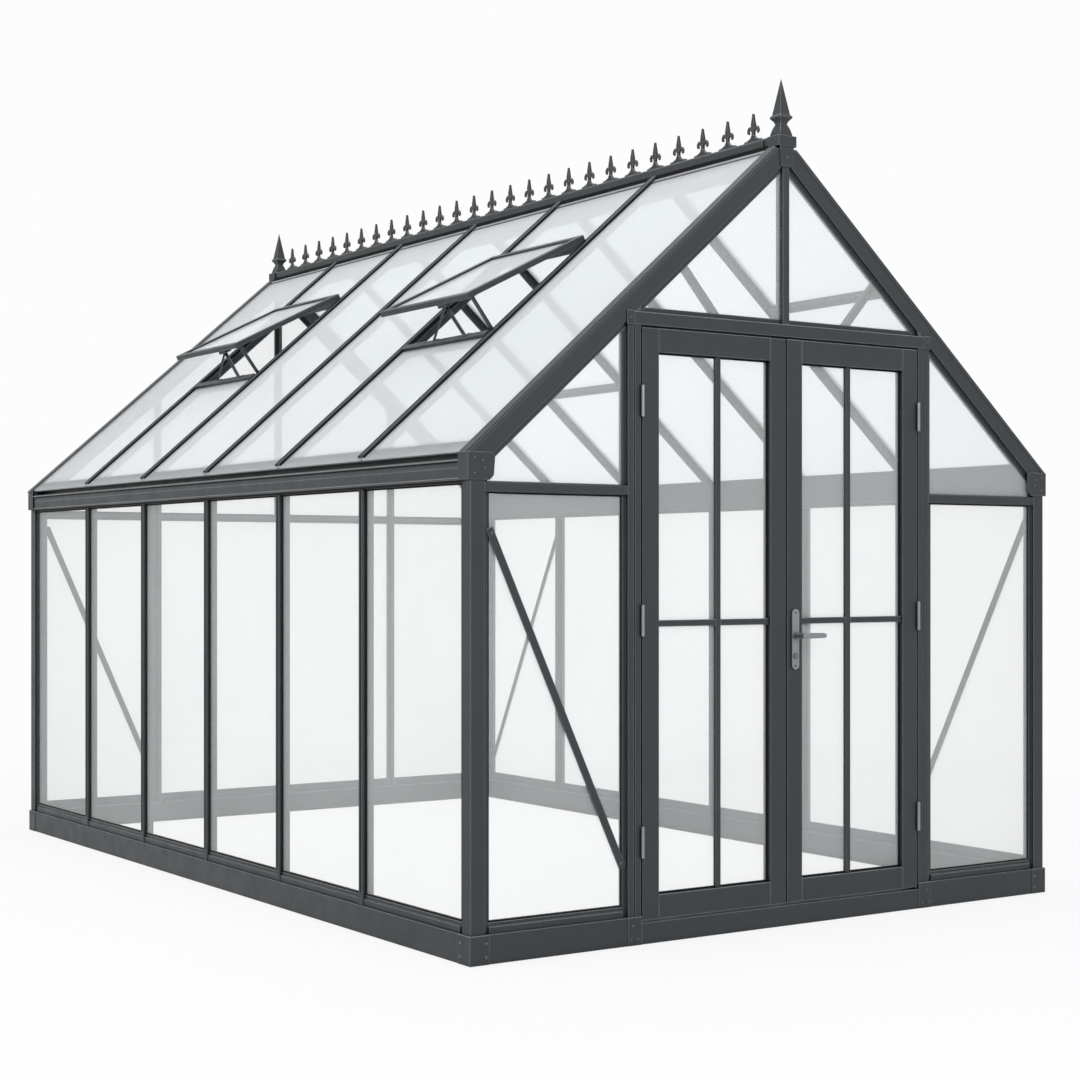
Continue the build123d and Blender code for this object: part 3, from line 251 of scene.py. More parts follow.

# %% [markdown]
# The coat on the aluminium is a satin anthracite powder. A noise clouds its colour and its
# gloss, and a fine bump gives the orange peel of baked powder. A painted highlight lightens
# upward edges, and painted shade darkens creases and gaps.

# %% Powder coat


def powder_coat(name, dark, light, edge_highlight):
    finish, tree, shader = new_finish(name)
    colour = blended(tree, object_noise(tree, 3.0), dark, light)
    # Painted highlight: sharp edges, upward ones most, are mixed towards a light grey.
    colour = blended(tree, edge_highlight_mask(tree, 0.0045), colour, edge_highlight)
    # Painted shade: ambient occlusion darkens the coat in creases and gaps.
    colour = blended(tree, 1.0, colour, painted_crease_shade(tree, 0.024, 0.06), "MULTIPLY")
    tree.links.new(colour, shader.inputs["Base Color"])
    tree.links.new(between(tree, object_noise(tree, 14.0), 0.4, 0.52), shader.inputs["Roughness"])
    peel = tree.nodes.new("ShaderNodeBump")
    peel.inputs["Strength"].default_value = 0.12
    peel.inputs["Distance"].default_value = 0.0004
    tree.links.new(object_noise(tree, 900.0), peel.inputs["Height"])
    tree.links.new(peel.outputs[0], shader.inputs["Normal"])
    shader.inputs["Specular IOR Level"].default_value = 0.3
    return finish


# The last colour is the painted highlight on upward edges.
coat = powder_coat(
    "anthracite_powder_coat", (0.026, 0.031, 0.035), (0.034, 0.039, 0.043), (0.40, 0.42, 0.43)
)
print(coat.name, "has", len(coat.node_tree.nodes), "nodes")

# %% [markdown]
# Walls and doors have clear sheet, which shows as a thin even haze with a slightly cloudy
# gloss. The roof has milky twin-wall sheet: ribs run down the slope, half of its light is
# scattered through to the other face, and the rest of what lies behind shows through it. A
# weak glow is also painted into the roof sheet, as if it were lit from within.

# %% Sheets


def clear_sheet():
    finish, tree, shader = new_finish("clear_wall_sheet")
    shader.inputs["Base Color"].default_value = (0.93, 0.95, 0.96, 1)
    tree.links.new(between(tree, object_noise(tree, 2.0), 0.04, 0.09), shader.inputs["Roughness"])
    tree.links.new(between(tree, object_noise(tree, 1.3), 0.17, 0.21), shader.inputs["Alpha"])
    return finish


def twin_wall_sheet():
    finish, tree, shader = new_finish("twin_wall_roof_sheet")
    place = tree.nodes.new("ShaderNodeTexCoord")
    rib = tree.nodes.new("ShaderNodeTexWave")
    rib.bands_direction = "Y"
    rib.inputs["Scale"].default_value = 31.4
    tree.links.new(place.outputs["Object"], rib.inputs["Vector"])
    colour = blended(tree, rib.outputs["Fac"], (0.83, 0.865, 0.885), (0.9, 0.925, 0.94))
    tree.links.new(colour, shader.inputs["Base Color"])
    tree.links.new(between(tree, object_noise(tree, 2.0), 0.3, 0.42), shader.inputs["Roughness"])
    # Painted light: a weak emission makes the roof sheet glow.
    shader.inputs["Emission Color"].default_value = (0.96, 0.98, 1.0, 1)
    shader.inputs["Emission Strength"].default_value = 0.17
    inside_light = tree.nodes.new("ShaderNodeBsdfTranslucent")
    tree.links.new(colour, inside_light.inputs["Color"])
    milk = tree.nodes.new("ShaderNodeMixShader")
    milk.inputs[0].default_value = 0.5
    tree.links.new(shader.outputs[0], milk.inputs[1])
    tree.links.new(inside_light.outputs[0], milk.inputs[2])
    clear = tree.nodes.new("ShaderNodeBsdfTransparent")
    body = tree.nodes.new("ShaderNodeMixShader")
    tree.links.new(between(tree, rib.outputs["Fac"], 0.53, 0.63), body.inputs[0])
    tree.links.new(clear.outputs[0], body.inputs[1])
    tree.links.new(milk.outputs[0], body.inputs[2])
    tree.links.new(body.outputs[0], tree.nodes["Material Output"].inputs["Surface"])
    return finish


wall_sheet = clear_sheet()
roof_sheet = twin_wall_sheet()
print(wall_sheet.name, "and", roof_sheet.name)

# %% [markdown]
# The lever, its plates and the hinges are satin grey metal, screws are dull zinc, and seals are
# black rubber; the same black paints shade in gaps and grooves. A noise varies colour and gloss
# in each, and painted shade darkens the grey metal in its creases.

# %% Metals and rubber


def brushed_steel():
    finish, tree, shader = new_finish("satin_grey_metal")
    colour = blended(tree, object_noise(tree, 40.0), (0.2, 0.21, 0.22), (0.3, 0.31, 0.32))
    # Painted shade: the metal is darkened in its creases.
    colour = blended(tree, 1.0, colour, painted_crease_shade(tree, 0.01, 0.25), "MULTIPLY")
    tree.links.new(colour, shader.inputs["Base Color"])
    shader.inputs["Metallic"].default_value = 0.8
    tree.links.new(between(tree, object_noise(tree, 60.0), 0.3, 0.42), shader.inputs["Roughness"])
    return finish


# Black rubber for the seals; the same black also paints the shade in gaps and grooves.
def black_rubber_and_shade():
    finish, tree, shader = new_finish("black_rubber_and_shade")
    colour = blended(tree, object_noise(tree, 30.0), (0.004, 0.004, 0.005), (0.009, 0.009, 0.01))
    tree.links.new(colour, shader.inputs["Base Color"])
    tree.links.new(between(tree, object_noise(tree, 80.0), 0.7, 0.85), shader.inputs["Roughness"])
    shader.inputs["Specular IOR Level"].default_value = 0.15
    return finish


def dull_zinc():
    finish, tree, shader = new_finish("bright_zinc")
    colour = blended(tree, object_noise(tree, 200.0), (0.12, 0.125, 0.13), (0.2, 0.205, 0.21))
    tree.links.new(colour, shader.inputs["Base Color"])
    shader.inputs["Metallic"].default_value = 0.7
    gloss = between(tree, object_noise(tree, 120.0), 0.22, 0.34)
    tree.links.new(gloss, shader.inputs["Roughness"])
    return finish


steel = brushed_steel()
black_for_seals_and_shade = black_rubber_and_shade()
zinc = dull_zinc()
print(steel.name, black_for_seals_and_shade.name, zinc.name)

# %% [markdown]
# The record gives each solid a slot, and each slot has one finish.

# %% Finishes on the solids
slot_finish = {
    "frame": coat,
    "wall_glazing": wall_sheet,
    "roof_glazing": roof_sheet,
    "hardware": steel,
}
for row in frame["record"]["subparts"]:
    node = frame["nodes"][row["node"]]
    node.data.materials.clear()
    node.data.materials.append(slot_finish[row["material_slot"]])
print(len(bpy.data.materials), "finishes")

# %% [markdown]
# Extruded bars are never razor-sharp. A copy of each bar's solid has its doubled corners
# merged and its flat faces joined, and a Bevel modifier rounds what is left by a millimetre.
# The copy stands for the solid, which is hidden.

# %% Rounded copies
EDGE_ROUNDING = 0.0012
slots = {row["node"]: row["material_slot"] for row in frame["record"]["subparts"]}
bodies = {
    node: body for body, names in frame["record"]["behaviour"]["bodies"].items() for node in names
}


def rounded_off(piece, width):
    """A live Bevel on every edge sharper than 35 degrees."""
    bevel = piece.modifiers.new("rounding", "BEVEL")
    bevel.width = width
    bevel.segments = 2
    bevel.limit_method = "ANGLE"
    bevel.angle_limit = math.radians(35)
    bevel.harden_normals = True


def soften(node):
    """Replaces one node by a merged copy with rounded edges."""
    shape = bmesh.new()
    shape.from_mesh(frame["nodes"][node].data)
    bmesh.ops.remove_doubles(shape, verts=shape.verts, dist=0.00002)
    bmesh.ops.dissolve_limit(
        shape,
        angle_limit=math.radians(1),
        verts=shape.verts,
        edges=shape.edges,
        delimit={"NORMAL"},
    )
    mesh = bpy.data.meshes.new(node + "_rounded")
    shape.to_mesh(mesh)
    shape.free()
    mesh.materials.append(slot_finish[slots[node]])
    copy = bpy.data.objects.new(node + "_rounded", mesh)
    scene.collection.objects.link(copy)
    rounded_off(copy, EDGE_ROUNDING)
    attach(copy, bodies[node])
    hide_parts(node)


for node in (
    "base_side_rails", "base_end_rails", "door_sill", "base_brackets", "left_sill_rail",
    "right_sill_rail", "end_sill_rails", "corner_posts", "left_wall_bars", "right_wall_bars",
    "back_wall_bars", "door_posts", "door_header", "transoms", "apex_plates", "gutters",
    "eave_cover_plates", "left_gable_rafters", "right_gable_rafters", "ridge_cap",
    "left_roof_bars", "right_roof_bars", "vent_sashes", "left_door_stiles", "left_door_rails",
    "right_door_stiles", "right_door_rails", "handle_plates",
):
    soften(node)

# %% [markdown]
# Everything from here on is made new, from the same places that the solids have. The object's
# depth runs along Y and its middle stands a little behind the origin.

# %% Places
FRONT, BACK = -1.80585, 1.85415  # outer faces of the base
SIDE = 1.2
SHIFT = 0.02415  # middle of the roof along Y
EAVE = 1.481  # the roof plane over the outer faces
PITCH = math.radians(41)
SHEET_TOP = 0.006  # outer face of the roof sheets, over the roof plane
CAP_TOP = 0.0158  # outer face of the roof bars' caps, over the roof plane
BAR_PLACES = [SHIFT + 0.5845 * k for k in (-2, -1, 0, 1, 2)]
CAP_HALF = 0.015  # half of a glazing bar's width
POST_FACE = -1.8018  # front face of the door posts and leaves
LIGHT_NEAR, LIGHT_FAR = 0.0667, 0.514  # a door's glass, from the meeting stile outwards
LIGHT_FOOT, LIGHT_HEAD = 0.146, 1.813
GLASS_OUT, GLASS_IN = FRONT + 0.022, FRONT + 0.026
FINE_ROUNDING = 0.0008


def on_slope(side, run, y, normal=0.0):
    """A point of the roof: side is -1 on the left, run goes in from the eave."""
    x = SIDE - run + normal * math.sin(PITCH)
    return Vector((side * x, y, EAVE + run * math.tan(PITCH) + normal * math.cos(PITCH)))


def outwards(side):
    """Straight out of a slope."""
    return Vector((side * math.sin(PITCH), 0, math.cos(PITCH)))


def upwards(side):
    """Along a slope towards the ridge."""
    return Vector((-side * math.cos(PITCH), 0, math.sin(PITCH)))


print("roof bars at", [round(y, 3) for y in BAR_PLACES])

# %% [markdown]
# A small kit makes all the fittings: an outline that is closed and extruded, a strip between
# two points, a frame of strips round an opening, a round boss and a screw. The last function
# turns a finished shape into a piece that rides on its body.

# %% Kit for new pieces


def add_outline(shape, corners, push):
    """Closes a few corners into a face and extrudes it by one vector."""
    ring = [shape.verts.new(corner) for corner in corners]
    face = shape.faces.new(ring)
    grown = bmesh.ops.extrude_face_region(shape, geom=[face])
    new = [item for item in grown["geom"] if isinstance(item, bmesh.types.BMVert)]
    bmesh.ops.translate(shape, vec=Vector(push), verts=new)
    return ring + new


def add_strip(shape, start, end, across, out):
    """A bar from start to end, with its width and its thickness given as vectors."""
    start, across, out = Vector(start), Vector(across), Vector(out)
    low, high = start - across / 2, start + across / 2
    add_outline(shape, [low, high, high + out, low + out], Vector(end) - start)


def add_frame(shape, corners, width, out):
    """Strips along the inside of an opening's edges."""
    corners = [Vector(corner) for corner in corners]
    centre = sum(corners, Vector()) / len(corners)
    for here, there in zip(corners, corners[1:] + corners[:1]):
        along = (there - here).normalized()
        inward = centre - here
        inward = (inward - inward.dot(along) * along).normalized()
        inset = inward * width / 2
        add_strip(shape, here + inset, there + inset, inward * width, out)


def add_round(shape, place, out, radius, height, top=1.0, sides=24):
    """A disc or boss that stands on a face, with its outer rim drawn in by top."""
    out = Vector(out).normalized()
    turn = Vector((0, 0, 1)).rotation_difference(out).to_matrix().to_4x4()
    turn.translation = Vector(place) + out * height / 2
    made = bmesh.ops.create_cone(
        shape,
        cap_ends=True,
        segments=sides,
        radius1=radius,
        radius2=radius * top,
        depth=height,
        matrix=turn,
    )
    rim = {face for corner in made["verts"] for face in corner.link_faces}
    return max(rim, key=lambda face: face.calc_center_median().dot(out))


def add_screw(shape, place, out, radius=0.0048, height=0.0022):
    """A pan head with a socket: a cone whose top is inset and pushed in."""
    cap = add_round(shape, place, out, radius, height, 0.78, 12)
    bmesh.ops.inset_region(shape, faces=[cap], thickness=radius * 0.3, depth=0)
    bmesh.ops.inset_region(shape, faces=[cap], thickness=radius * 0.08, depth=-height * 0.6)


def keep(name, shape, body, finish, replaced=(), rounding=0.0):
    """Turns a shape into a finished piece."""
    bmesh.ops.recalc_face_normals(shape, faces=shape.faces)
    mesh = bpy.data.meshes.new(name)
    shape.to_mesh(mesh)
    shape.free()
    mesh.materials.append(finish)
    piece = bpy.data.objects.new(name, mesh)
    scene.collection.objects.link(piece)
    if rounding:
        rounded_off(piece, rounding)
    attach(piece, body)
    for node in replaced:
        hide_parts(node)
    print(name, len(mesh.polygons), "faces")


print("kit is ready")

# %% [markdown]
# The cresting is a cast strip with a fleur-de-lis on it at every pitch. One flower is drawn
# as flat outlines in millimetres: a foot, a spear and two curled lobes. Each is extruded and
# its faces are inset and raised, which gives the soft ridge of a casting. Copies follow the
# ridge.

# %% Ridge cresting
CREST_FOOT = 2.5402  # top of the ridge cap
CREST_COUNT = 26
CREST_PITCH = 0.133
CREST_STRIP = 0.008
CREST_WIDTH = 0.010
foot = [
    (44, 0), (44, 12), (40, 15), (35, 13), (31, 16),
    (26, 15), (22, 19), (17, 19), (12, 23), (8, 29),
]
spear = [(6.5, 24), (5, 34), (6, 46), (8.5, 60), (8.8, 67), (6.5, 76), (3.6, 88), (0.8, 101)]
lobe = [
    (4, 45), (10, 44), (15, 48), (19, 49), (21, 45), (19, 40), (22, 35),
    (27, 37), (29.5, 43), (28.5, 51), (23, 58), (16, 60.5), (9, 57), (4, 54),
]
flower_parts = (  # outline, half thickness, height and width of the raised edge
    (foot + [(-y, z) for y, z in reversed(foot)], 0.0032, 0.0018, 0.0022),
    (spear + [(-y, z) for y, z in reversed(spear)], 0.0036, 0.0014, 0.0005),
    (lobe, 0.0028, 0.0014, 0.0018),
    ([(-y, z) for y, z in reversed(lobe)], 0.0028, 0.0014, 0.0018),
)
flower = bmesh.new()
for outline, half, rise, edge in flower_parts:
    corners = [(-half, y / 1000, CREST_FOOT + z / 1000) for y, z in outline]
    made = set(add_outline(flower, corners, (2 * half, 0, 0)))
    sides = [face for face in flower.faces if set(face.verts) <= made and len(face.verts) > 4]
    bmesh.ops.recalc_face_normals(flower, faces=flower.faces)
    bmesh.ops.inset_individual(flower, faces=sides, thickness=edge, depth=rise)
flower_mesh = bpy.data.meshes.new("one_flower")
flower.to_mesh(flower_mesh)
flower.free()

crest = bmesh.new()
crest_start = SHIFT - CREST_COUNT * CREST_PITCH / 2
crest_end = SHIFT + CREST_COUNT * CREST_PITCH / 2
add_strip(
    crest,
    (0, crest_start, CREST_FOOT),
    (0, crest_end, CREST_FOOT),
    (CREST_WIDTH, 0, 0),
    (0, 0, CREST_STRIP),
)
flower_mesh.transform(Matrix.Translation((0, crest_start - CREST_PITCH / 2, 0)))
for _ in range(CREST_COUNT):
    flower_mesh.transform(Matrix.Translation((0, CREST_PITCH, 0)))
    crest.from_mesh(flower_mesh)
keep("cast_cresting", crest, "structure", coat, ["ridge_cresting"])

# %% [markdown]
# Under the ridge cap a black strip stands against the ridge beam in the gap to the sheets;
# it paints the shadow under the cap. A thin metal trim lies on the sheets beside it.

# %% Ridge shadow strip and trim
RIDGE_END = 0.052  # how far both stop short of the gables
under_cap_shadow = bmesh.new()
trim = bmesh.new()
y0, y1 = FRONT + RIDGE_END, BACK - RIDGE_END
for side in (-1, 1):
    add_strip(
        under_cap_shadow,
        (side * 0.036, y0, 2.499),
        (side * 0.036, y1, 2.499),
        (0, 0, 0.0255),
        (side * 0.003, 0, 0),
    )
    add_strip(
        trim,
        on_slope(side, 1.1475, y0, SHEET_TOP),
        on_slope(side, 1.1475, y1, SHEET_TOP),
        upwards(side) * 0.007,
        outwards(side) * 0.003,
    )
# Painted shadow: the black strip under the ridge cap.
keep("ridge_shadow_strip", under_cap_shadow, "structure", black_for_seals_and_shade)
keep("ridge_trim", trim, "structure", coat, rounding=FINE_ROUNDING)

# %% [markdown]
# Each sheet is held by a rubber seal that shows as a black line along its bars, and the
# black of these strips also paints the shade in the recess beside each bar. In the walls and
# doors a seal is a frame of thin strips on the sheet's face, just inside the opening. On
# the roof it is a strip along each side of a bar.

# %% Seals and painted shade lines
SEAL = 0.005
PANE_FACE = 0.017  # outer face of the wall sheets, in from the base's outer face
POST_LIP = 0.068  # a corner post's lip, in from the corner
SILL_TOP = 0.119
SIDE_HEAD, GABLE_HEAD = 1.397, 1.371
seal_and_shade_lines = bmesh.new()
starts = [FRONT + POST_LIP] + [y + CAP_HALF for y in BAR_PLACES]
stops = [y - CAP_HALF for y in BAR_PLACES] + [BACK - POST_LIP]
for side in (-1, 1):
    x = side * (SIDE - PANE_FACE)
    for y0, y1 in zip(starts, stops):
        corners = [(x, y0, SILL_TOP), (x, y1, SILL_TOP), (x, y1, SIDE_HEAD), (x, y0, SIDE_HEAD)]
        add_frame(seal_and_shade_lines, corners, SEAL, (side * 0.002, 0, 0))
gable_lights = (
    (FRONT + PANE_FACE, -0.002, ((-1.132, -0.649), (0.649, 1.132))),
    (BACK - PANE_FACE, 0.002, ((-1.132, -0.6235), (-0.5935, 0.5935), (0.6235, 1.132))),
)
for y, out, spans in gable_lights:
    for x0, x1 in spans:
        corners = [(x0, y, SILL_TOP), (x1, y, SILL_TOP), (x1, y, GABLE_HEAD), (x0, y, GABLE_HEAD)]
        add_frame(seal_and_shade_lines, corners, SEAL, (0, out, 0))
for side in (-1, 1):
    for y in BAR_PLACES:
        for edge in (-1, 1):
            across = y + edge * (CAP_HALF + 0.0015)
            add_strip(
                seal_and_shade_lines,
                on_slope(side, 0.012, across, SHEET_TOP),
                on_slope(side, 1.148, across, SHEET_TOP),
                (0, SEAL, 0),
                outwards(side) * 0.007,
            )
keep("glazing_seals_and_shade_lines", seal_and_shade_lines, "structure", black_for_seals_and_shade)

for body, x0, x1 in (
    ("left_door", -LIGHT_FAR, -LIGHT_NEAR),
    ("right_door", LIGHT_NEAR, LIGHT_FAR),
):
    # The door's seal frames are black rubber and also paint the shade round the glass.
    door_seal_and_shade = bmesh.new()
    for y, out in ((GLASS_OUT, -0.003), (GLASS_IN, 0.003)):
        foot_corners = [(x0, y, LIGHT_FOOT), (x1, y, LIGHT_FOOT)]
        head_corners = [(x1, y, LIGHT_HEAD), (x0, y, LIGHT_HEAD)]
        add_frame(door_seal_and_shade, foot_corners + head_corners, SEAL, (0, out, 0))
    keep(body + "_seal_and_shade_line", door_seal_and_shade, body, black_for_seals_and_shade)

# %% [markdown]
# The doors' glazing crosses are thin bars on each face of the glass. Their upright stands a
# little nearer to the meeting stile, as on the real doors.

# %% Door crosses
CROSS_HEIGHT = 0.979
CROSS_PLACE = 0.2744  # the upright's middle, out from the meeting stiles
for body, side in (("left_door", -1), ("right_door", 1)):
    cross = bmesh.new()
    centre = side * CROSS_PLACE
    near, far = side * LIGHT_NEAR, side * LIGHT_FAR
    for y, out, width in ((GLASS_OUT, -0.010, 0.020), (GLASS_IN, 0.004, 0.012)):
        push = (0, out, 0)
        add_strip(cross, (centre, y, LIGHT_FOOT), (centre, y, LIGHT_HEAD), (width, 0, 0), push)
        half = side * width / 2
        for x0, x1 in ((near, centre - half), (centre + half, far)):
            add_strip(cross, (x0, y, CROSS_HEIGHT), (x1, y, CROSS_HEIGHT), (0, 0, width), push)
    keep(body + "_cross", cross, body, coat, [body + "_muntins"], 0.001)

# %% [markdown]
# Four flat braces stiffen the frame: one outside the front wall, one inside the back wall and
# two inside the right wall. Each is a strip between two bolts, with rounded edges.

# %% Braces
BRACE_WIDTH = 0.026
BRACE_THICK = 0.003
BOLT_IN = 0.016  # a bolt's middle, in from the brace's end
braces = bmesh.new()
bolts = bmesh.new()
brace_ends = (  # start, end and the way its face looks
    ((-1.128, FRONT + 0.014, 1.266), (-0.648, FRONT + 0.014, 0.240), (0, -1, 0)),
    ((-1.132, BACK - 0.024, 1.330), (-0.620, BACK - 0.024, 0.175), (0, -1, 0)),
    ((1.176, FRONT + 0.060, 1.330), (1.176, BAR_PLACES[0] - 0.012, 0.175), (-1, 0, 0)),
    ((1.176, BACK - 0.060, 0.175), (1.176, BAR_PLACES[4] + 0.012, 1.330), (-1, 0, 0)),
)
for start, end, out in brace_ends:
    start, end, out = Vector(start), Vector(end), Vector(out)
    along = (end - start).normalized()
    add_strip(braces, start, end, out.cross(along) * BRACE_WIDTH, out * BRACE_THICK)
    for place in (start + along * BOLT_IN, end - along * BOLT_IN):
        add_screw(bolts, place + out * BRACE_THICK, out, 0.0055, 0.003)
keep("flat_braces", braces, "structure", coat, ["wall_braces"], FINE_ROUNDING)
keep("brace_bolts", bolts, "structure", zinc)

# %% [markdown]
# Dull zinc screws with a socket hold the corner brackets, the joint plates beside the doors,
# the eave covers and the apex plates. Each is one small cone, turned to face outwards.

# %% Screws
BRACKET = 0.002  # the corner brackets stand this proud of the base
COVER_SCREWS = ((1.185, 1.470), (1.158, 1.462), (1.185, 1.425), (1.150, 1.440))
JOINT_SCREWS = ((0.620, 0.061), (0.626, 0.021), (0.600, 0.019))
screws = bmesh.new()
for side in (-1, 1):
    for y, out in ((FRONT - BRACKET, -1), (BACK + BRACKET, 1)):
        for z in (0.062, 0.023):
            add_screw(screws, (side * (SIDE - 0.053), y, z), (0, out, 0))
            add_screw(screws, (side * (SIDE + BRACKET), y - out * 0.055, z), (side, 0, 0))
        for x, z in COVER_SCREWS:
            add_screw(screws, (side * x, y + out * -BRACKET, z), (0, out, 0), 0.0042)
    for x, z in JOINT_SCREWS:
        add_screw(screws, (side * x, FRONT - BRACKET, z), (0, -1, 0), 0.0040)
for y, out in ((FRONT, -1), (BACK, 1)):
    add_screw(screws, (0, y, 2.470), (0, out, 0), 0.0045)
keep("frame_screws", screws, "structure", zinc)

# %% [markdown]
# The lever grips are rounded and taper to their ends. Each starts as an outline seen from the
# front, in millimetres from the spindle, is extruded to its thickness, and a wide bevel rounds
# it all over. The necks and the spindle are cones with the same radius at both ends.

# %% Lever and plate trim
HANDLE = Vector((0.0345, 0, 0.932))
KEYHOLE_HEIGHT = 0.866
PLATE_SCREWS = (1.006, 0.834)
GRIP_THICK = 0.012
grip = [
    (-8.5, -5), (-5, -8.5), (30, -9), (70, -8.2), (86, -7.5), (91, -4.5), (92, 0),
    (91, 4.5), (86, 7.5), (70, 8.2), (30, 9), (-5, 8.5), (-8.5, 5),
]
lever = bmesh.new()
for inner, outer in ((-1.81415, -1.85615), (-1.75355, -1.71155)):
    out = Vector((0, math.copysign(1, outer - inner), 0))
    add_round(lever, (HANDLE.x, inner, HANDLE.z), out, 0.0085, 0.034)
    corners = [(HANDLE.x + x / 1000, outer, HANDLE.z + z / 1000) for x, z in grip]
    add_outline(lever, corners, -out * GRIP_THICK)
add_round(lever, (HANDLE.x, -1.816, HANDLE.z), (0, 1, 0), 0.005, 0.064, sides=12)
keep("rounded_lever", lever, "lever", steel, ["lever_handle"], 0.0032)

plate_trim = bmesh.new()
for y, out in ((FRONT - 0.002, -1), (-1.75985, 1)):
    add_round(plate_trim, (HANDLE.x, y, KEYHOLE_HEIGHT), (0, out, 0), 0.0092, 0.0046, 0.9)
    for height in PLATE_SCREWS:
        add_screw(plate_trim, (HANDLE.x, y, height), (0, out, 0), 0.004)
keep("keyhole_and_screws", plate_trim, "right_door", zinc)

# %% [markdown]
# The verge cap runs up each gable on top of the rafter and holds the sheets' edges. Its section
# is an L with the front upper edge cut off, pushed along the slope in one go.

# %% Verge caps
VERGE_START, VERGE_END = -0.006, 1.163  # runs from the eave
verge_section = [  # depth in from the gable's face, and height over the roof plane
    (0.002, -0.003), (0.006, -0.003), (0.006, 0.006), (0.044, 0.006),
    (0.044, 0.0125), (0.008, 0.0125), (0.002, 0.0065),
]
verges = bmesh.new()
for side in (-1, 1):
    push = on_slope(side, VERGE_END, 0) - on_slope(side, VERGE_START, 0)
    for y, inward in ((FRONT, 1), (BACK, -1)):
        corners = [
            on_slope(side, VERGE_START, y + inward * depth, normal)
            for depth, normal in verge_section
        ]
        add_outline(verges, corners, push)
keep("verge_caps", verges, "structure", coat, rounding=FINE_ROUNDING)

# %% [markdown]
# A cover strip hides the joint over the doors. It runs past both posts and ends in square
# connectors with a screw each, and a small block closes the base beside each leaf's foot.
# Black strips in the gap above and beside the leaves paint the shadow there.

# %% Door surround
HEADER_HEIGHT = 1.913
# The black strips in the door gap paint the shadow there; GAP_DEPTH sets how deep they lie.
GAP_DEPTH = 0.008  # the rubber lies this deep behind the leaves' face
surround = bmesh.new()
add_strip(
    surround,
    (-0.637, POST_FACE, HEADER_HEIGHT),
    (0.637, POST_FACE, HEADER_HEIGHT),
    (0, 0, 0.040),
    (0, -0.0015, 0),
)
for side in (-1, 1):
    add_strip(
        surround,
        (side * 0.609, POST_FACE, HEADER_HEIGHT),
        (side * 0.638, POST_FACE, HEADER_HEIGHT),
        (0, 0, 0.044),
        (0, -0.004, 0),
    )
for side in (-1, 1):
    x, y = side * 0.5845, FRONT + 0.006
    add_strip(surround, (x, y, 0.060), (x, y, 0.0865), (0.012, 0, 0), (0, 0.040, 0))
keep("header_cover", surround, "structure", coat, rounding=FINE_ROUNDING)

# Painted shadow: black strips in the gaps round the door leaves.
gap_shadow = bmesh.new()
y = POST_FACE + GAP_DEPTH
add_strip(gap_shadow, (-0.578, y, 1.8895), (0.578, y, 1.8895), (0, 0, 0.006), (0, -0.003, 0))
for side in (-1, 1):
    x = side * 0.581
    add_strip(gap_shadow, (x, y, 0.080), (x, y, 1.890), (0.005, 0, 0), (0, -0.003, 0))
keep("door_gap_shadow_strips", gap_shadow, "structure", black_for_seals_and_shade)

connector_screws = bmesh.new()
for side in (-1, 1):
    place = (side * 0.6235, POST_FACE - 0.004, HEADER_HEIGHT)
    add_screw(connector_screws, place, (0, -1, 0), 0.004)
keep("connector_screws", connector_screws, "structure", zinc)

# %% [markdown]
# A square block closes each end of the ridge under the finial. It is a short strip with
# rounded edges, a little wider than the plate that hangs below it.

# %% Ridge end blocks
BLOCK_FOOT = 2.505
blocks = bmesh.new()
for y, inward in ((FRONT - 0.003, 1), (BACK + 0.003, -1)):
    add_strip(
        blocks,
        (0, y, BLOCK_FOOT),
        (0, y + inward * 0.058, BLOCK_FOOT),
        (0.075, 0, 0),
        (0, 0, 0.0351),
    )
keep("ridge_end_blocks", blocks, "structure", coat, rounding=0.0015)

# %% [markdown]
# Each roof vent is propped open by a forked stay in the middle and a straight one at its side.
# The forked stay meets the sash in a small bracket, and a low curb lines the opening's foot.

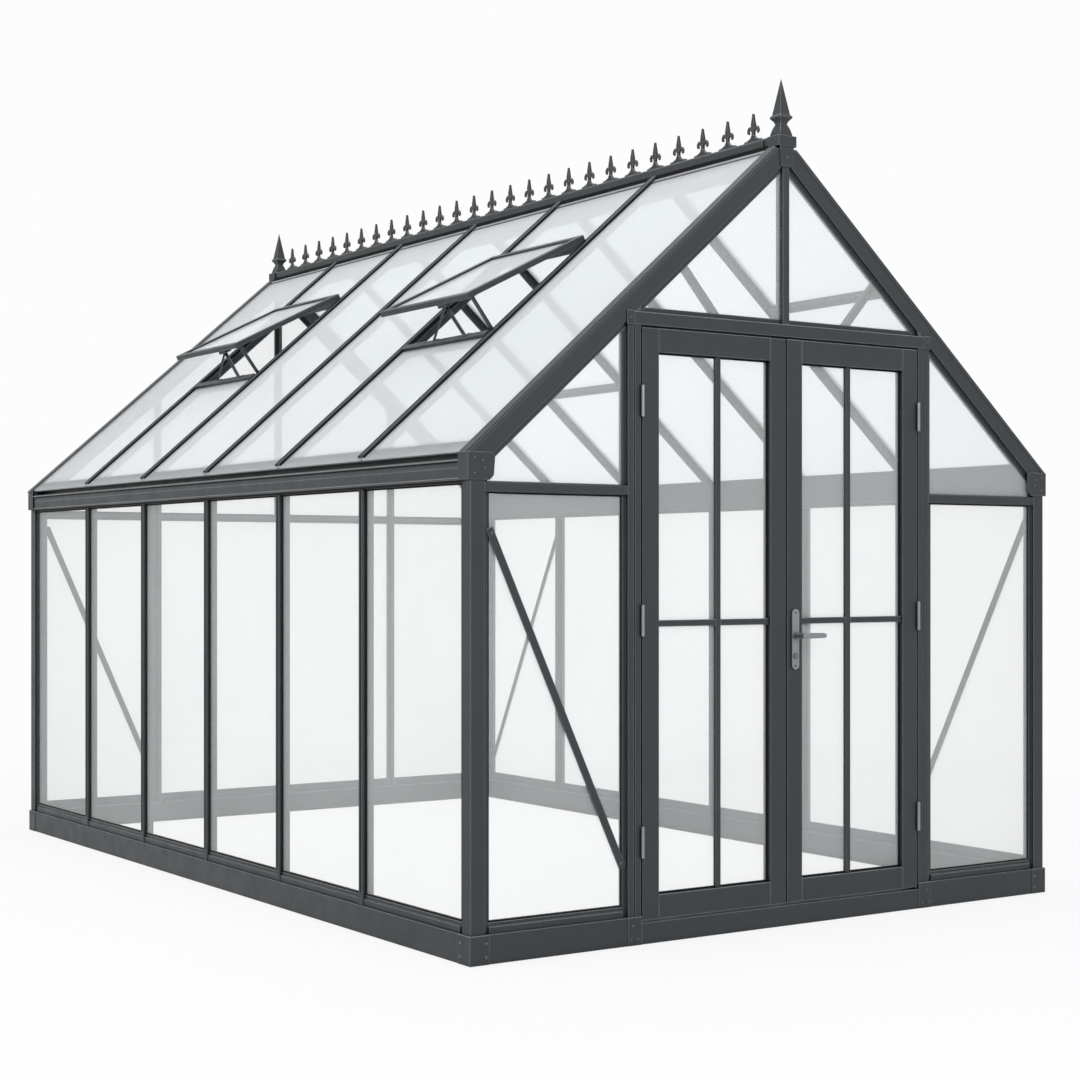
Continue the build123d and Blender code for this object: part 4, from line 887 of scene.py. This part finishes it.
# %% Vent props and curbs
CURB_RUN = 0.497
STAY = 0.013
VENT_BAYS = (-0.8526, 0.9009)  # middles of the two bays that have a vent
FEET = (-0.977, -0.768)
flat = Vector((-0.65, 0, 0.76))
props = bmesh.new()
for middle_y in VENT_BAYS:
    shift = middle_y - VENT_BAYS[0]
    apex = Vector((-0.715, -0.8725 + shift, 2.040))
    for foot_y in FEET:
        place = Vector((-0.700, foot_y + shift, 1.925))
        along = (apex - place).normalized()
        add_strip(props, place, apex, along.cross(flat).normalized() * STAY, flat * 0.009)
        add_strip(
            props,
            place - Vector((0, 0.014, 0.004)),
            place + Vector((0, 0.014, -0.004)),
            (0.026, 0, 0.022),
            (0, 0, 0.010),
        )
    half = Vector((0, 0.026, 0))
    add_strip(props, apex - half, apex + half, (0.030, 0, 0.015), (-0.011, 0, 0.022))
    y = -1.130 + shift
    add_strip(props, (-0.690, y, 1.935), (-0.775, y, 2.046), (0.011, 0, 0.008), (0, 0.006, 0))
    add_strip(
        props,
        on_slope(-1, CURB_RUN, -1.127 + shift, 0.002),
        on_slope(-1, CURB_RUN, -0.577 + shift, 0.002),
        upwards(-1) * 0.022,
        outwards(-1) * 0.018,
    )
keep("vent_props", props, "structure", coat, ["vent_stays"], FINE_ROUNDING)

# %% [markdown]
# Grooves give the extrusions their look. The gutter has a lip with a groove under it, the
# wall bars and roof bars have one along the middle of their caps, and each joint plate in the
# base is outlined by the gap beside it. The shade in these grooves and gaps is painted: black
# strips that stand barely proud of the metal.

# %% Lips and grooves
GROOVE = 0.0008  # how proud a black strip stands
GROOVE_WIDTH = 0.0035
GUTTER_FACE, BAR_FACE = 1.205, 1.196
lips, groove_shade = bmesh.new(), bmesh.new()
gutter_lines = (  # shape, height, width and how proud
    (lips, 1.462, 0.004, 0.002),
    (groove_shade, 1.4575, 0.003, GROOVE),
    (groove_shade, 1.401, 0.005, GROOVE),
)
y0, y1 = FRONT + 0.054, BACK - 0.054
for side in (-1, 1):
    for shape, height, width, out in gutter_lines:
        x = side * GUTTER_FACE
        add_strip(shape, (x, y0, height), (x, y1, height), (0, 0, width), (side * out, 0, 0))
    for y in BAR_PLACES:
        x = side * BAR_FACE
        width = (0, GROOVE_WIDTH, 0)
        add_strip(groove_shade, (x, y, 0.126), (x, y, 1.396), width, (side * GROOVE, 0, 0))
        foot_place = on_slope(side, 0.02, y + 0.003, CAP_TOP)
        head_place = on_slope(side, 1.14, y + 0.003, CAP_TOP)
        add_strip(groove_shade, foot_place, head_place, width, outwards(side) * 0.001)
    for x in (side * 0.5955, side * 0.6255):
        add_strip(groove_shade, (x, FRONT, 0.002), (x, FRONT, 0.085), (0.0025, 0, 0), (0, -GROOVE, 0))
keep("gutter_lips", lips, "structure", coat)
keep("groove_shade_strips", groove_shade, "structure", black_for_seals_and_shade)
